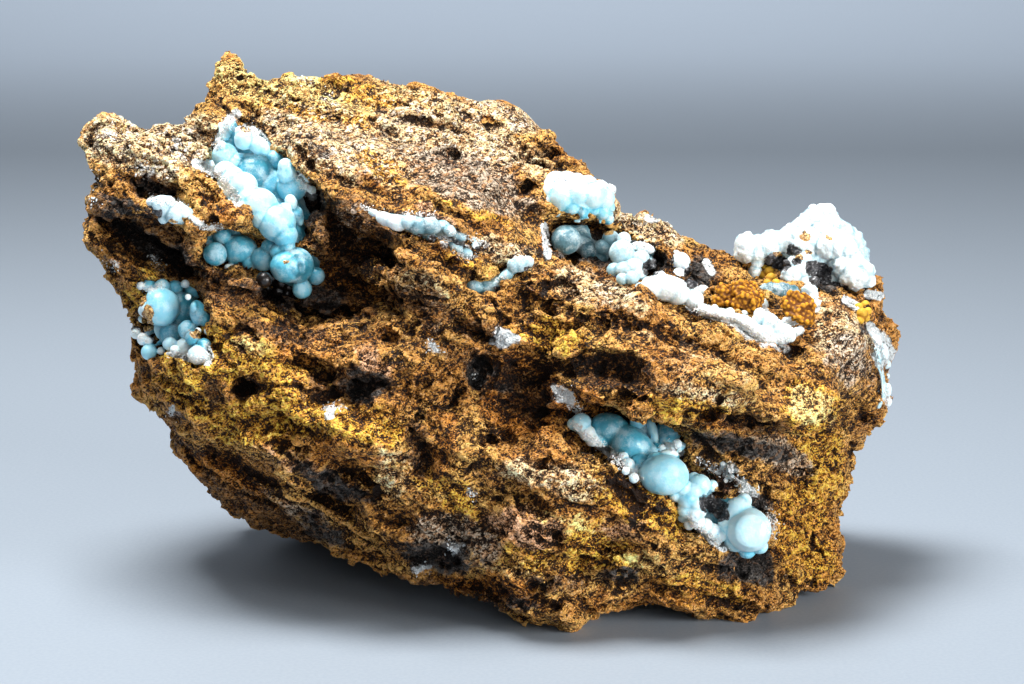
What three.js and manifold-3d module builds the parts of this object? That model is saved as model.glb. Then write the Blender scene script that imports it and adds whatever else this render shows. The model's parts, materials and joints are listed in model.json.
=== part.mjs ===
// A hand specimen of hemimorphite: a rough block of iron-stained gossan, broken along its bedding, with
// pale blue botryoidal crusts lining its hollows and a white cluster on its right-hand crest.
// Millimetres, +Z up, the long side along X, the show face towards -Y. It rests on natural feet at z = 0.
//
// The stone is sculpted in a layout frame. Its drawing plane stands through the middle of the stone and leans
// back by LEAN. A place is [a, b, d]: across and up on the drawing plane, as it looks from EYE in front, and
// the depth behind that plane. The outline and the depths of the faces are soundings taken in this frame.
import * as THREE from "three";
import { mergeVertices } from "three/addons/utils/BufferGeometryUtils.js";
import Module from "manifold-3d";

const { clamp, degToRad, lerp } = THREE.MathUtils;

const EYE = 350; // distance that the layout is drawn from
const LEAN = degToRad(10); // how far the drawing plane leans back
const GROUND = -30.6; // height of the resting surface under the middle of the drawing plane
const ORIGIN = { x: -2.18, y: 3.68 }; // the layout's own x and y that become the part's origin

const FRONT_ROUNDING = 6; // how far in from the outline the front face reaches its full depth
const BACK_ROUNDING = 12; // the same for the back
const RIM_HALF = 2.4; // half the thickness of the blunt edge that runs round the outline
const SOUNDING_SPREAD = 2.9; // how far one front sounding is felt
const BACK_SPREAD = 9; // how far one back sounding is felt
const RIM_SPREAD = 2.4; // how far the depth of one outline point is felt

const BEDDING = degToRad(-24); // dip of the beds across the face, down to the right
const BED_THICKNESS = 5.2;
const BED_STEP = 1.7; // how far the edge of a bed stands proud
const BED_LIP = 0.82; // where in its thickness a bed reaches out furthest
const CREASE = { gain: 1.6, drop: 0.45 }; // a creased swelling: rounded lumps with sharp valleys between
const BED_LEAN = 0.35; // how much the beds also dip away from the show face
const BED_WAVER = { size: 12, reach: 2.5 };
const BED_FADE = 9; // over what length a bed's edge comes and goes
const BED_SHARE = 0.6; // how strong the edges are on the whole
const ROUGHNESS = [
  { size: 12, height: 1.3, stretch: 1.5, creased: false },
  { size: 6.5, height: 2.1, stretch: 1.9, creased: true },
  { size: 3.6, height: 1.5, stretch: 1.6, creased: true },
];
const WARP = { size: 4.5, reach: 1.5, apart: 40 }; // how the hollows and lumps are pushed out of true
const RIM_CALM = { share: 0.4, reach: 4 }; // share of the roughness left at the outline, and how far in
const RIM_TRIM = 0.6; // how far the roughness carries the outline outwards
const RELIEF = { step: 0.5, low: -65, side: 261 }; // the grid that a face's depths are kept on
const BLEND = { faces: 2, outline: 1.5, lumps: 0.8, heels: 6, hollows: 0.5, balls: 0.35 };

const FEET = [
  { x: 9.6, y: -25, reach: 9 }, { x: 31, y: -21.5, reach: 8 }, { x: 42, y: -8, reach: 7 },
  { x: -21, y: 21, reach: 9 }, { x: 27, y: 17, reach: 9 },
];
const ARCH = { height: 2.4, sag: 1, furthest: 1.6 }; // how the underside stands off the ground between feet
const ARCH_WAVER = { size: 7, reach: 1.6, level: 0.5 };

const STONE_CELL = 1.5; // grid that the stone is meshed on
const STONE_TRIANGLES = 6240;
const STONE_BOX = new THREE.Box3(new THREE.Vector3(-57, -44, -1.3), new THREE.Vector3(57, 44, 75));
const CRUST_CELL = 0.62;
const CRUST_TRIANGLES = { first: 32, last: 22 }; // for each ball, before and after the stone is cut from it
const CRUST_MARGIN = 1.5; // room round the balls in the grid that they are meshed on
const SEAT_STEP = 0.2; // step at which a line of sight looks for the stone
const SIGHT = { from: -32, to: 30 }; // depths between which it looks
const SEAT_GAP = 0.4; // clearance between a crust and the stone that it grew on
const SEAT_GUARD = 0.18; // the least clearance anywhere
const FOOT_FLAT = 0.3; // what comes this near to the ground is flat on it
const SAME_POINT = 1e-4; // points nearer than this are one

// The outline, clockwise from the left head: [a, b, depth of the rim there].
const OUTLINE = [
  [-53, 25, -3], [-52.5, 27, -4], [-51, 28.5, -4], [-49.5, 29, -3], [-47, 27.5, -3], [-44.5, 27.5, -2],
  [-42, 28, 0], [-41, 28, 2], [-39.5, 29, 8], [-38, 30, 12], [-37.5, 32, 14], [-36.7, 35.6, 15],
  [-35.8, 37.2, 15], [-34.3, 37, 15], [-33.5, 34.5, 14], [-32, 33, 12], [-30, 32.5, 9], [-26.5, 33, 8],
  [-23.5, 32.5, 8], [-21, 34, 10], [-19, 34, 11], [-17, 32.5, 11], [-13.5, 32.5, 11], [-9.5, 32, 12],
  [-7.5, 30.5, 12], [-5.5, 29, 12], [-4, 30, 17], [-1.5, 30, 19], [1, 29, 19], [4, 26.5, 18],
  [6, 25, 15], [8, 23, 11], [10.5, 21.5, 9], [11, 20, 8], [13, 19.5, 8], [13.5, 17.5, 8],
  [15.5, 16, 10], [18.5, 15, 12], [21, 14, 11], [22.5, 12.5, 10], [25.5, 11.5, 10], [27.5, 11, 10],
  [29.5, 9.4, 8], [32, 8.8, 8], [35.5, 8.2, 8], [39.5, 7.4, 8], [42.5, 7.4, 10], [44.5, 8, 12],
  [46, 8, 12], [46.5, 5, 10], [47, 1, 9], [47, -3, 8], [47, -6.5, 6], [46.5, -9, 5], [45.5, -10.5, 5],
  [43.5, -11, 5], [42.5, -13, 6], [41.5, -15, 6], [42, -16.5, 6], [41.5, -18.5, 6], [40.5, -20, 6],
  [41, -22, 6], [40.5, -23.5, 5], [41, -26, 5], [41, -29, 3], [41, -31, 1], [39, -31, 0],
  [36.5, -32, -3], [33.5, -33, -7], [31, -34, -10], [29.5, -35, -13], [27.5, -35, -13], [25, -34, -13],
  [20.5, -33.5, -14], [16, -33.5, -14], [11.5, -33, -14], [10.5, -34.5, -15], [7, -35.5, -17],
  [4, -36, -17], [1, -35, -16], [-1.5, -34.5, -14], [-4.5, -34, -12], [-7.5, -33, -8],
  [-10.5, -31.5, -4], [-13.5, -30.5, 0], [-15.5, -29, 4], [-18, -27.5, 8], [-20.5, -27, 10],
  [-23, -25.5, 11], [-26, -25, 12], [-28, -24, 12], [-30.5, -23, 12], [-33, -22.5, 12],
  [-34, -20.5, 11], [-36, -19.5, 11], [-38, -18.5, 10], [-39, -16.5, 8], [-40, -14.5, 5],
  [-41.5, -14, 3], [-42.5, -12, 2], [-43.5, -9.5, 1], [-45.5, -7.5, 0], [-46, -5.5, 0], [-46.5, -3, 0],
  [-47, -1, 0], [-47, 1, 0], [-47.5, 3, 0], [-48.5, 5, 0], [-48.5, 7.5, -1], [-50, 9, -2],
  [-51, 10, -2], [-52, 11.5, -2], [-53, 13.5, -3], [-53, 15.5, -3], [-51.5, 17.5, -3], [-52, 19.5, -4],
  [-51.5, 21, -4], [-52.5, 22.5, -3],
];

// Soundings of the front face, [a, b, d], by the parts of the stone.
const FRONT = {
  leftHead: [
    [-52, 25.5, -9], [-49, 27, -8], [-44.5, 26, -9], [-40, 26.5, -7], [-50.5, 23.5, -15],
    [-46, 22.5, -19], [-41, 22.5, -18], [-38, 24.5, -15], [-50.5, 19.5, -15], [-40, 19, -19],
    [-48.5, 17, -17], [-41.5, 16, -21], [-36, 15, -22], [-50.5, 13, -12], [-46, 12.5, -14],
    [-48, 10, -11], [-41, 10, -15], [-35.5, 7, -19],
  ],
  hornAndShoulder: [[-35.5, 33, 13], [-36.5, 30, 9], [-33.5, 30.5, 6], [-38, 27.5, 2], [-36, 26, -6]],
  topSlab: [
    [-30, 31, 4], [-25, 31.5, 4], [-20.5, 32, 7], [-15, 31.5, 8], [-10, 30.5, 9], [-3.5, 29, 16],
    [1, 27, 16], [4.5, 25, 14], [9, 21.5, 8], [-31, 28.5, -4], [-26, 28.5, -3], [-20, 28.5, -1],
    [-14, 28, 1], [-7.5, 27, 3], [-2, 26, 4], [3.5, 23, 4], [-27.5, 25, -11], [-21, 24.5, -9],
    [-15, 23.5, -7], [-9, 22.5, -5], [-2.5, 22, -3], [3.5, 20, -2], [10.5, 19.5, 2], [-25, 21, -16],
    [-20, 20, -15], [-14, 19.5, -13], [-7.5, 18, -12], [-1.5, 16, -11], [3.5, 14.5, -10], [8, 17.5, -4],
    [12, 17.5, 3],
  ],
  slabEdge: [
    [-22.5, 17, -20], [-20, 14, -21], [-15.5, 13, -20], [-11.5, 11.5, -20], [-7, 10, -21],
    [-2.5, 9, -20], [1.5, 10, -18], [4, 11.5, -14],
  ],
  underSlab: [[-25, 14.5, -14], [-22.5, 10, -11], [-20.5, 6, -12], [-17.5, 7, -15], [-26, 5, -14]],
  middleBand: [
    [-12, 7.5, -23], [-8.5, 6.5, -23], [-14.5, 3.5, -18], [-20, 2, -17], [-26, 2, -17],
    [-32.5, 2.5, -18], [-5, 4, -20], [0, 6, -20], [3.5, 5, -20], [-7, -8.5, -22], [-4, -7, -19],
    [-7.5, -13.5, -24], [-4, -12, -24], [-1.5, -1, -21], [1.5, 1.5, -21], [6, 2.5, -22], [1, -5.5, -17],
    [4, -10.5, -16], [0, -14, -22],
  ],
  lowerLeft: [
    [-35.5, -0.5, -20], [-31, -1.5, -23], [-39, -3, -17], [-43.5, -3.5, -12], [-44.5, -7, -8],
    [-40.5, -7, -14], [-35, -7, -20], [-27.5, -8, -23], [-22.5, -3, -22], [-17.5, -1, -22],
    [-14, -3, -23], [-9, -3.5, -24], [-32.5, -11.5, -20], [-26, -12, -25], [-20, -12, -25],
    [-14, -11, -25], [-38.5, -11, -11], [-34, -15, -12], [-28.5, -16, -22], [-22.5, -17, -20],
    [-36.5, -16.5, 0], [-33, -19, 0], [-28, -19.5, -5], [-22.5, -21.5, -9], [-27.5, -22.5, 3],
    [-20, -25, -4], [-16.5, -20.5, -19], [-14, -25.5, -12], [-15, -28, -3],
  ],
  foot: [
    [-10, -18.5, -22], [-5, -19.5, -22], [-10, -27, -14], [-5, -27, -18], [-5, -32, -12],
    [-1.5, -22, -24], [3.5, -24.5, -24], [0, -30.5, -15], [4, -33.5, -19], [8.5, -32, -17],
    [8.5, -27, -23], [13.5, -32, -14], [13.5, -27, -24], [18.5, -29.5, -21], [20.5, -25.5, -23],
    [17, -32.5, -14], [23, -32.5, -13], [25.5, -29.5, -19], [29, -32.5, -16], [30, -27.5, -17],
    [25.5, -25, -20],
  ],
  rightSlab: [
    [6, 7, -19], [11, 6, -20], [16, 3.5, -23], [22, 2, -23], [28, 1, -21], [8.5, -1, -23],
    [16, -1, -25], [23, -2, -25], [30.5, -4, -23], [35.5, -1, -17], [35.5, -6, -20], [40, 1, -10],
    [43, 2.5, -3], [41.5, -3, -11], [45, -2, -2], [45.5, -6.5, -3], [43, -8.5, -6], [38, -9, -14],
    [11, -7, -19], [17, -8, -22], [23, -9, -22], [29.5, -10.5, -21], [34.5, -11.5, -17],
  ],
  belowPocket: [
    [7, -12, -22], [9.5, -17, -25], [6, -19.5, -25], [16, -19.5, -24], [13.5, -23, -25],
    [20.5, -22.5, -22],
  ],
  rightFlank: [
    [25.5, -13.5, -15], [30.5, -14.5, -13], [34.5, -16, -11], [32, -19.5, -12], [27, -16.5, -14],
    [33.5, -22, -11], [33.5, -27, -12], [37, -14, -7], [40, -13.5, -1], [37.5, -19.5, -4],
    [40, -18.5, 1], [37.5, -25, -4], [40, -25.5, 1], [37.5, -29.5, -5], [33.5, -31, -9], [40, -29.5, 0],
  ],
  basin: [
    [6, 12.5, -6], [11, 12.5, 1], [14.5, 14.5, 6], [19, 13.5, 8], [13.5, 10, -6], [18.5, 10, 2],
    [23, 10.5, 6], [18.5, 6.5, -9], [23, 6.5, -3], [27.5, 8.5, 3], [25.5, 4.5, -8], [30.5, 5, -2],
    [35.5, 4, -4], [30.5, 2.5, -11], [34.5, 1.5, -12], [40.5, 4.5, 0], [44, 6, 6],
  ],
};

// Soundings of the broken back, fewer and wider apart.
const BACK = [
  [-45, 22, 13], [-45, 8, 19], [-40, -8, 19], [-32, 25, 22], [-30, 5, 33], [-30, -14, 31],
  [-18, 26, 27], [-20, 14, 29], [-14, 4, 37], [-15, -10, 30], [-16, -24, 34], [-2, 24, 25], [2, 12, 34],
  [4, 0, 31], [0, -14, 35], [4, -28, 27], [14, 10, 23], [17, -2, 33], [18, -18, 28], [20, -31, 26],
  [31, 4, 24], [33, -9, 29], [32, -26, 21], [43, 3, 20], [42, -8, 16],
];

// Hollows cut into the stone: the middle, then half the length, height and depth, and the tilt from level.
const HOLLOWS = {
  upperPocket: [
    { at: [-31, 21.5, -17], half: [5.2, 4.6, 9], tilt: -35 },
    { at: [-34.5, 25.5, -15], half: [1.8, 3.4, 6], tilt: -25 },
    { at: [-28.5, 16.5, -17], half: [4.8, 3.4, 7], tilt: -45 },
    { at: [-32, 11.5, -19], half: [5.6, 2.3, 6], tilt: -8 },
    { at: [-26.5, 9, -17], half: [3.2, 3, 6], tilt: -50 },
  ],
  headHole: [{ at: [-44.5, 19.2, -18], half: [4.6, 1.8, 5], tilt: -12 }],
  headUndercut: [{ at: [-44.5, 13.2, -17], half: [7, 1.8, 4.5], tilt: -24 }],
  lowerLeftPocket: [
    { at: [-42.5, 4.5, -14], half: [4.6, 3.6, 8], tilt: -10 },
    { at: [-41, 0, -16], half: [4, 1.4, 4], tilt: -15 },
  ],
  cave: [
    { at: [-22, 8.7, -17], half: [3.4, 5.6, 8.5], tilt: -22 },
    { at: [-18.5, 5.2, -18], half: [6.5, 2.8, 7], tilt: -12 },
    { at: [-26, 4.5, -18], half: [5, 1.6, 6], tilt: -12 },
  ],
  seam: [
    { at: [-11, 14.4, -17], half: [6, 0.9, 4], tilt: -20 },
    { at: [-5.8, 12, -17], half: [3, 1, 4], tilt: -20 },
  ],
  lowerSeam: [{ at: [-2, 8, -20], half: [3.4, 0.9, 3.5], tilt: 22 }],
  saddleCave: [
    { at: [7.5, 12.8, -8], half: [4.4, 2.9, 9], tilt: -15 },
    { at: [13, 10.5, -8], half: [4, 1.6, 6], tilt: -15 },
  ],
  crestHollow: [{ at: [32, 6.6, 1], half: [3.2, 1.8, 4], tilt: -10 }],
  frontPocket: [
    { at: [13.6, -11.6, -21], half: [8, 3.9, 9], tilt: -22 },
    { at: [19, -16, -21], half: [4.4, 3.6, 6], tilt: -40 },
    { at: [24.5, -20, -20], half: [7, 2.8, 5], tilt: -38 },
    { at: [24.5, -15.6, -20], half: [5, 3.4, 4.6], tilt: -35 },
    { at: [23, -12.6, -22], half: [7, 1.1, 5], tilt: -8 },
  ],
  pits: [
    { at: [-33, -5.4, -23], half: [2.6, 1.9, 5], tilt: 10 },
    { at: [-24, -4.2, -24], half: [4.4, 1.6, 5], tilt: -10 },
    { at: [-20.5, -6.6, -23], half: [3.4, 2, 4.5], tilt: 25 },
    { at: [-4, -4.6, -22], half: [1.6, 2.6, 4.5], tilt: 10 },
    { at: [-9.6, -12.6, -25], half: [1.1, 5.6, 4.5], tilt: 4 },
    { at: [2, -10.4, -21], half: [6, 2.8, 5], tilt: -6 },
    { at: [4, -4.2, -23], half: [5, 1.3, 4], tilt: -14 },
    { at: [15, -6.6, -26], half: [9, 1, 3.5], tilt: -8 },
    { at: [-29, -12.4, -25], half: [1.8, 1, 2.5], tilt: 0 },
    { at: [-30, -15.5, -20], half: [6, 1.3, 5], tilt: -24 },
    { at: [-20, -18.4, -22], half: [6, 1.3, 5], tilt: -12 },
    { at: [-6, -17.5, -25], half: [4, 1.2, 3], tilt: -14 },
    { at: [25, -28.8, -24], half: [5.5, 2, 4], tilt: -12 },
    { at: [9, -29.6, -22], half: [7, 1.5, 4], tilt: -10 },
    { at: [14, -24.6, -26], half: [6, 0.9, 2.5], tilt: -8 },
    { at: [37, -10.6, -14], half: [6, 1.1, 5], tilt: 20 },
  ],
};

// Lumps that stand proud of the face, given as the hollows are.
const LUMPS = {
  headLip: [
    { at: [-38.5, 15.2, -19], half: [6, 1.5, 3.2], tilt: -10 },
    { at: [-46, 16.6, -15], half: [5, 1.6, 3], tilt: -22 },
  ],
  bridge: [{ at: [-31.5, 14.2, -19], half: [4, 1.2, 3.5], tilt: -26 }],
  pocketLip: [{ at: [-31.5, 7.4, -19], half: [3, 1.7, 3.5], tilt: -10 }],
  block: [{ at: [-10.3, 7.3, -20], half: [4.6, 2.2, 5], tilt: -14 }],
  belly: [
    { at: [15, -4.4, -22], half: [9, 2.6, 5], tilt: -8 },
    { at: [30, -7.6, -18], half: [7, 2.4, 5], tilt: -22 },
  ],
  toes: [
    { at: [4, -32.6, -15], half: [6.5, 3.6, 5], tilt: 0 },
    { at: [28.5, -32, -11], half: [6, 3.4, 6], tilt: 0 },
    { at: [38, -28.6, 0], half: [4, 3.4, 5], tilt: 0 },
  ],
};

// Broad swellings low on the back, which the stone stands on behind.
const HEELS = [
  { at: [-22, -16, 25], half: [13, 9, 13], tilt: -20 },
  { at: [22, -17, 20], half: [15, 10, 13], tilt: 0 },
];

// Crusts: each ball is [a, b, d, radius].
const CRUSTS = {
  crust_upper_pocket: {
    slot: "blue_crust",
    balls: [
      [-31, 21, -12, 3.6], [-29.5, 19.5, -12, 2.9], [-33, 19.5, -14.5, 2.4], [-35, 20, -15.5, 2],
      [-32.5, 18, -16, 2.6], [-31, 16.5, -16.5, 2.5], [-29.5, 15.5, -17, 2.7], [-28, 13.5, -17.5, 2.5],
      [-27.5, 12, -17, 2], [-35, 23.5, -13, 2], [-34.5, 26.5, -12.5, 1.4], [-33, 25, -14, 1.5],
      [-31, 24.5, -14, 1.5], [-27.5, 21, -15.5, 1.7], [-27.5, 18.5, -14.5, 2.2], [-27, 17, -17, 1.1],
      [-26, 15.5, -15, 1.6], [-28.5, 22.5, -12, 2.4], [-36.5, 11, -18, 1.7], [-33, 12, -15.5, 2.7],
      [-30.5, 11, -16, 2.2], [-35, 13, -16, 1.6], [-27.5, 9.5, -17.5, 2.9], [-26, 10.5, -16, 2.4],
      [-25.5, 8.5, -16, 1.8], [-26, 6.5, -17, 1.4], [-29, 10, -14, 2.6], [-31, 14, -12.5, 2.6],
    ],
  },
  crust_left_nook: {
    slot: "pale_crust",
    seated: true,
    balls: [
      [-43, 16.6, 0.6, 1.7], [-41.4, 16, 0.6, 1.9], [-44.4, 17.2, 0.5, 1.2], [-39.8, 15.6, 0.6, 1.3],
      [-38, 14.9, 0.4, 1.2], [-36.6, 14.4, 0.4, 1],
    ],
  },
  crust_lower_left_pocket: {
    slot: "blue_crust",
    balls: [
      [-43.2, 4.2, -13.5, 2.5], [-41.2, 4.2, -11, 2.4], [-39, 3.6, -12.5, 1.6], [-45, 6.6, -11.5, 1.3],
      [-42.5, 7, -11.5, 1.5], [-39.8, 6.6, -12, 1.4], [-41.5, 1.6, -12.5, 1.6], [-40, 1.4, -13, 1.4],
      [-44.8, -0.6, -13, 1.5], [-42, 0, -14.5, 1.3], [-40.4, -0.6, -15.5, 1.6], [-38.8, -1.2, -16, 1.3],
      [-45.6, 1.4, -11, 1.2], [-42.5, 2.5, -9.5, 2.6], [-38.3, 0.8, -14, 1.1],
    ],
  },
  crust_seam: {
    slot: "pale_crust",
    seated: true,
    balls: [
      [-17, 15.9, 0.3, 1.1], [-15.6, 15.5, 0.4, 1.3], [-14.2, 15, 0.5, 1.5], [-12.6, 14.8, 0.5, 1.6],
      [-11, 14.3, 0.5, 1.7], [-9.2, 14.2, 0.6, 1.7], [-7.7, 13.4, 0.5, 1.5], [-6.3, 12.5, 0.5, 1.5],
      [-4.8, 12, 0.4, 1.3], [-10, 13, 0.4, 1.3],
    ],
  },
  crust_lower_seam: {
    slot: "pale_crust",
    seated: true,
    balls: [
      [-4.3, 7, 0.5, 1.4], [-2.9, 7.2, 0.5, 1.5], [-1.4, 7.9, 0.5, 1.3], [0.1, 8.7, 0.5, 1.5],
      [1.5, 9.4, 0.5, 1.2], [-5.4, 6.7, 0.4, 1.1],
    ],
  },
  crust_saddle_cap: {
    slot: "pale_crust",
    balls: [
      [6.5, 18.2, -2.5, 2.2], [8.6, 17.6, -2, 2.5], [10.6, 17.2, -0.5, 2.2], [5.2, 19.2, -2.5, 1.5],
      [12, 16.6, 1.5, 1.7], [7.3, 16.4, -1.6, 1.6], [9.8, 15.8, -0.6, 1.5], [8.5, 19.2, 0, 2],
    ],
  },
  crust_saddle_cave: {
    slot: "pale_crust",
    balls: [
      [6.8, 12.8, -6, 2], [9, 12, -4, 1.9], [11, 11.4, -3.5, 1.8], [12.4, 12.4, -1.5, 1.6],
      [13.8, 11, -5, 2], [15.8, 12, -1.5, 1.3], [8, 13.6, -1.5, 2.4], [14.8, 8.9, -7, 1.9],
      [16.4, 8.3, -6.5, 1.5], [13.4, 9, -8, 1.3], [18.7, 6.4, -9.5, 2.7], [22, 4.8, -9.5, 1.8],
      [20.7, 5.8, -8, 1.5], [19.8, 9.8, -1, 1.4], [20.8, 10.4, 0.5, 1.2], [17.5, 10.6, -1.5, 1.4],
      [16.5, 10, -4, 1.8],
    ],
  },
  crust_basin_rim: {
    slot: "pale_crust",
    seated: true,
    balls: [
      [23.4, 3.7, 0.3, 1.2], [25, 3.4, 0.3, 1.3], [26.6, 3, 0.4, 1.3], [28.2, 2, 0.5, 1.6],
      [30, 1.1, 0.5, 1.5], [31.8, 0.7, 0.5, 1.5], [33.6, 0.9, 0.5, 1.6], [35.2, 1.7, 0.4, 1.3],
      [31.4, 2.8, 0.4, 1.8], [32, 4.4, 0.4, 1.6],
    ],
  },
  crust_crest: {
    slot: "white_crust",
    balls: [
      [28.8, 11.8, 5, 1.8], [30.4, 12.2, 5, 1.7], [32, 12.6, 5.5, 1.6], [29.4, 10.3, 5, 1.5],
      [31.4, 10.8, 5, 1.6], [33.8, 12.8, 6, 1.7], [35.6, 13.8, 6.5, 1.9], [37, 15.3, 7, 1.8],
      [38.2, 15.9, 7.5, 1.6], [39.2, 15.6, 8, 1.5], [38, 14, 6, 2.5], [40.4, 13.5, 7, 2.1],
      [41.8, 12.6, 8, 1.9], [42.8, 11.4, 8, 1.7], [43.2, 9.8, 8, 1.6], [40.6, 11.3, 5, 2.7],
      [42.4, 8.6, 4.5, 2.7], [43.6, 7.4, 6, 1.8], [41.6, 7, 4, 2.1], [38.6, 11.3, 4.5, 2.3],
      [36.8, 12, 5, 2.1], [34.9, 11.3, 5, 1.7], [37, 9.5, 3.5, 1.7], [35.6, 9.5, 4, 1.5],
      [34.4, 8.3, 3, 1.7], [36.8, 7, 2, 1.6], [37.5, 5.6, 1, 1.3], [40, 9, 7, 3],
    ],
  },
  crust_front_pocket: {
    slot: "blue_crust",
    balls: [
      [8.6, -10.2, -18.2, 1.6], [10, -11.4, -17.6, 1.8], [12, -10.8, -16, 2.7],
      [14.8, -12.1, -16.5, 3.1], [16.6, -13.6, -17, 2.3], [18, -10.6, -15.5, 2.2],
      [20.3, -11.3, -16.5, 1.8], [22, -11.4, -15.5, 1.7], [21.4, -13, -18.5, 1.2],
      [18.8, -16.3, -20.5, 3], [14.4, -15.4, -20.5, 1.5], [22.4, -19.3, -20.5, 2.1],
      [23.8, -18, -19, 1.8], [23.3, -21, -20.5, 1.6], [25, -22.6, -19.5, 1.4], [26.5, -23.2, -19, 1.4],
      [27.3, -21, -18.5, 2.1], [29.5, -22.8, -18.5, 2.9], [28.8, -25.6, -18, 1.1],
      [20.8, -18, -18.5, 1.9], [25, -20.6, -17.5, 1.6],
    ],
  },
  crust_right_edge: {
    slot: "white_crust",
    seated: true,
    balls: [
      [42.4, 1.8, 0.3, 1.1], [43.6, 0.4, 0.4, 1.3], [44.6, -1, 0.4, 1.5], [45, -2.8, 0.4, 1.3],
      [45.2, -4.4, 0.3, 1.2], [45.3, -6, 0.4, 1.4], [45, -7.6, 0.3, 1.2],
    ],
  },
  limonite_cluster_left: {
    slot: "limonite",
    seated: true,
    balls: [
      [27.6, 6.6, 0.5, 1.7], [29.2, 5.8, 0.6, 1.9], [28, 4.6, 0.6, 1.7], [30.2, 4.2, 0.5, 1.5],
      [26.2, 5.4, 0.4, 1.4], [29.4, 7.4, 0.3, 1.4],
    ],
  },
  limonite_cluster_right: {
    slot: "limonite",
    seated: true,
    balls: [[34.3, 4.6, 0.5, 1.5], [35.9, 4.3, 0.6, 1.7], [35, 2.9, 0.5, 1.5], [36.6, 3, 0.4, 1.3]],
  },
};

const FINISHES = {
  gossan: { color: 0x9a6a2c, roughness: 0.95, metalness: 0 },
  blue_crust: { color: 0x9fd3de, roughness: 0.35, metalness: 0 },
  pale_crust: { color: 0xc6dfe4, roughness: 0.45, metalness: 0 },
  white_crust: { color: 0xe9f2f4, roughness: 0.5, metalness: 0 },
  limonite: { color: 0xa8701e, roughness: 0.6, metalness: 0 },
};

// ---- From the layout to the part's frame and back ----

const leanCos = Math.cos(LEAN);
const leanSin = Math.sin(LEAN);

function place([a, b, d]) {
  const widening = 1 + d / EYE;
  const up = b * widening;
  const [back, high] = [up * leanSin + d * leanCos, up * leanCos - d * leanSin];
  return [a * widening - ORIGIN.x, back - ORIGIN.y, high - GROUND];
}

function layoutOf(x, y, z) {
  const back = y + ORIGIN.y;
  const high = z + GROUND;
  const d = back * leanCos - high * leanSin;
  const narrowing = EYE / (EYE + d);
  return [(x + ORIGIN.x) * narrowing, (back * leanSin + high * leanCos) * narrowing, d];
}

// ---- Noise ----

const MIXERS = [374761393, 668265263, 1274126177]; // large primes that scatter the lattice's values

// A scattered value from 0 to 1 for each point of a lattice.
function lattice(i, j, k) {
  let h = (i * MIXERS[0] + j * MIXERS[1] + k * MIXERS[2]) | 0;
  h = Math.imul(h ^ (h >>> 13), MIXERS[2]);
  return ((h ^ (h >>> 16)) >>> 0) / 0xffffffff;
}

const ease = (t) => t * t * t * (t * (6 * t - 15) + 10);

// Smooth noise from -1 to 1 with bumps about one unit apart.
function noise(x, y, z) {
  const [i, j, k] = [Math.floor(x), Math.floor(y), Math.floor(z)];
  const [u, v, w] = [ease(x - i), ease(y - j), ease(z - k)];
  let sum = 0;
  for (const [di, fu] of [[0, 1 - u], [1, u]])
    for (const [dj, fv] of [[0, 1 - v], [1, v]])
      for (const [dk, fw] of [[0, 1 - w], [1, w]]) sum += lattice(i + di, j + dj, k + dk) * fu * fv * fw;
  return 2 * sum - 1;
}

// ---- The stone's own field: above zero inside, about a millimetre per unit ----

const FAR_WEIGHT = 1e-7; // keeps a distant sounding's say just above nothing

// The mean of the soundings round a place, the near ones counting most.
function soundingSurface(points, spread) {
  const narrowness = 1 / (2 * spread * spread);
  return (a, b) => {
    let total = 0;
    let depth = 0;
    for (const [pa, pb, pd] of points) {
      const far = (a - pa) ** 2 + (b - pb) ** 2;
      const weight = Math.exp(-narrowness * far) + FAR_WEIGHT / (1 + far);
      total += weight;
      depth += weight * pd;
    }
    return depth / total;
  };
}

// Distance inside the outline, below zero outside it.
function insideOutline(a, b) {
  let nearest = Infinity;
  let inside = false;
  OUTLINE.forEach(([xa, xb], n) => {
    const [ya, yb] = OUTLINE[(n + 1) % OUTLINE.length];
    const [ea, eb] = [ya - xa, yb - xb];
    const along = clamp(((a - xa) * ea + (b - xb) * eb) / (ea * ea + eb * eb), 0, 1);
    nearest = Math.min(nearest, Math.hypot(a - xa - along * ea, b - xb - along * eb));
    if (xb > b !== yb > b && a < xa + ((b - xb) * ea) / eb) inside = !inside;
  });
  return inside ? nearest : -nearest;
}

// A quarter circle: 0 at the outline, 1 from reach inwards.
const rounding = (distance, reach) => Math.sqrt(1 - (1 - clamp(distance / reach, 0, 1)) ** 2);

// A function of a and b that is worked out once on a fine grid, and then read between its points.
class Relief {
  constructor(depth) {
    Object.assign(this, RELIEF);
    this.depths = new Float64Array(this.side * this.side);
    for (let j = 0; j < this.side; j++)
      for (let i = 0; i < this.side; i++)
        this.depths[i + this.side * j] = depth(this.low + i * this.step, this.low + j * this.step);
  }

  // The depth there, and the cosine of the slope, which turns a depth into a distance.
  at(a, b) {
    const [u, v] = [(a - this.low) / this.step, (b - this.low) / this.step];
    const [i, j] = [u, v].map((place) => clamp(Math.floor(place), 0, this.side - 2));
    const [p, q, r, s] = [0, 1, this.side, this.side + 1].map((n) => this.depths[i + this.side * j + n]);
    const [fu, fv] = [clamp(u - i, 0, 1), clamp(v - j, 0, 1)];
    const [low, high] = [p + (q - p) * fu, r + (s - r) * fu];
    const slope = Math.hypot((q - p) * (1 - fv) + (s - r) * fv, high - low) / this.step;
    return [low + (high - low) * fv, 1 / Math.hypot(1, slope)];
  }
}

function softMin(a, b, blend) {
  const h = Math.max(blend - Math.abs(a - b), 0) / blend;
  return Math.min(a, b) - (h * h * blend) / 4;
}

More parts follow.
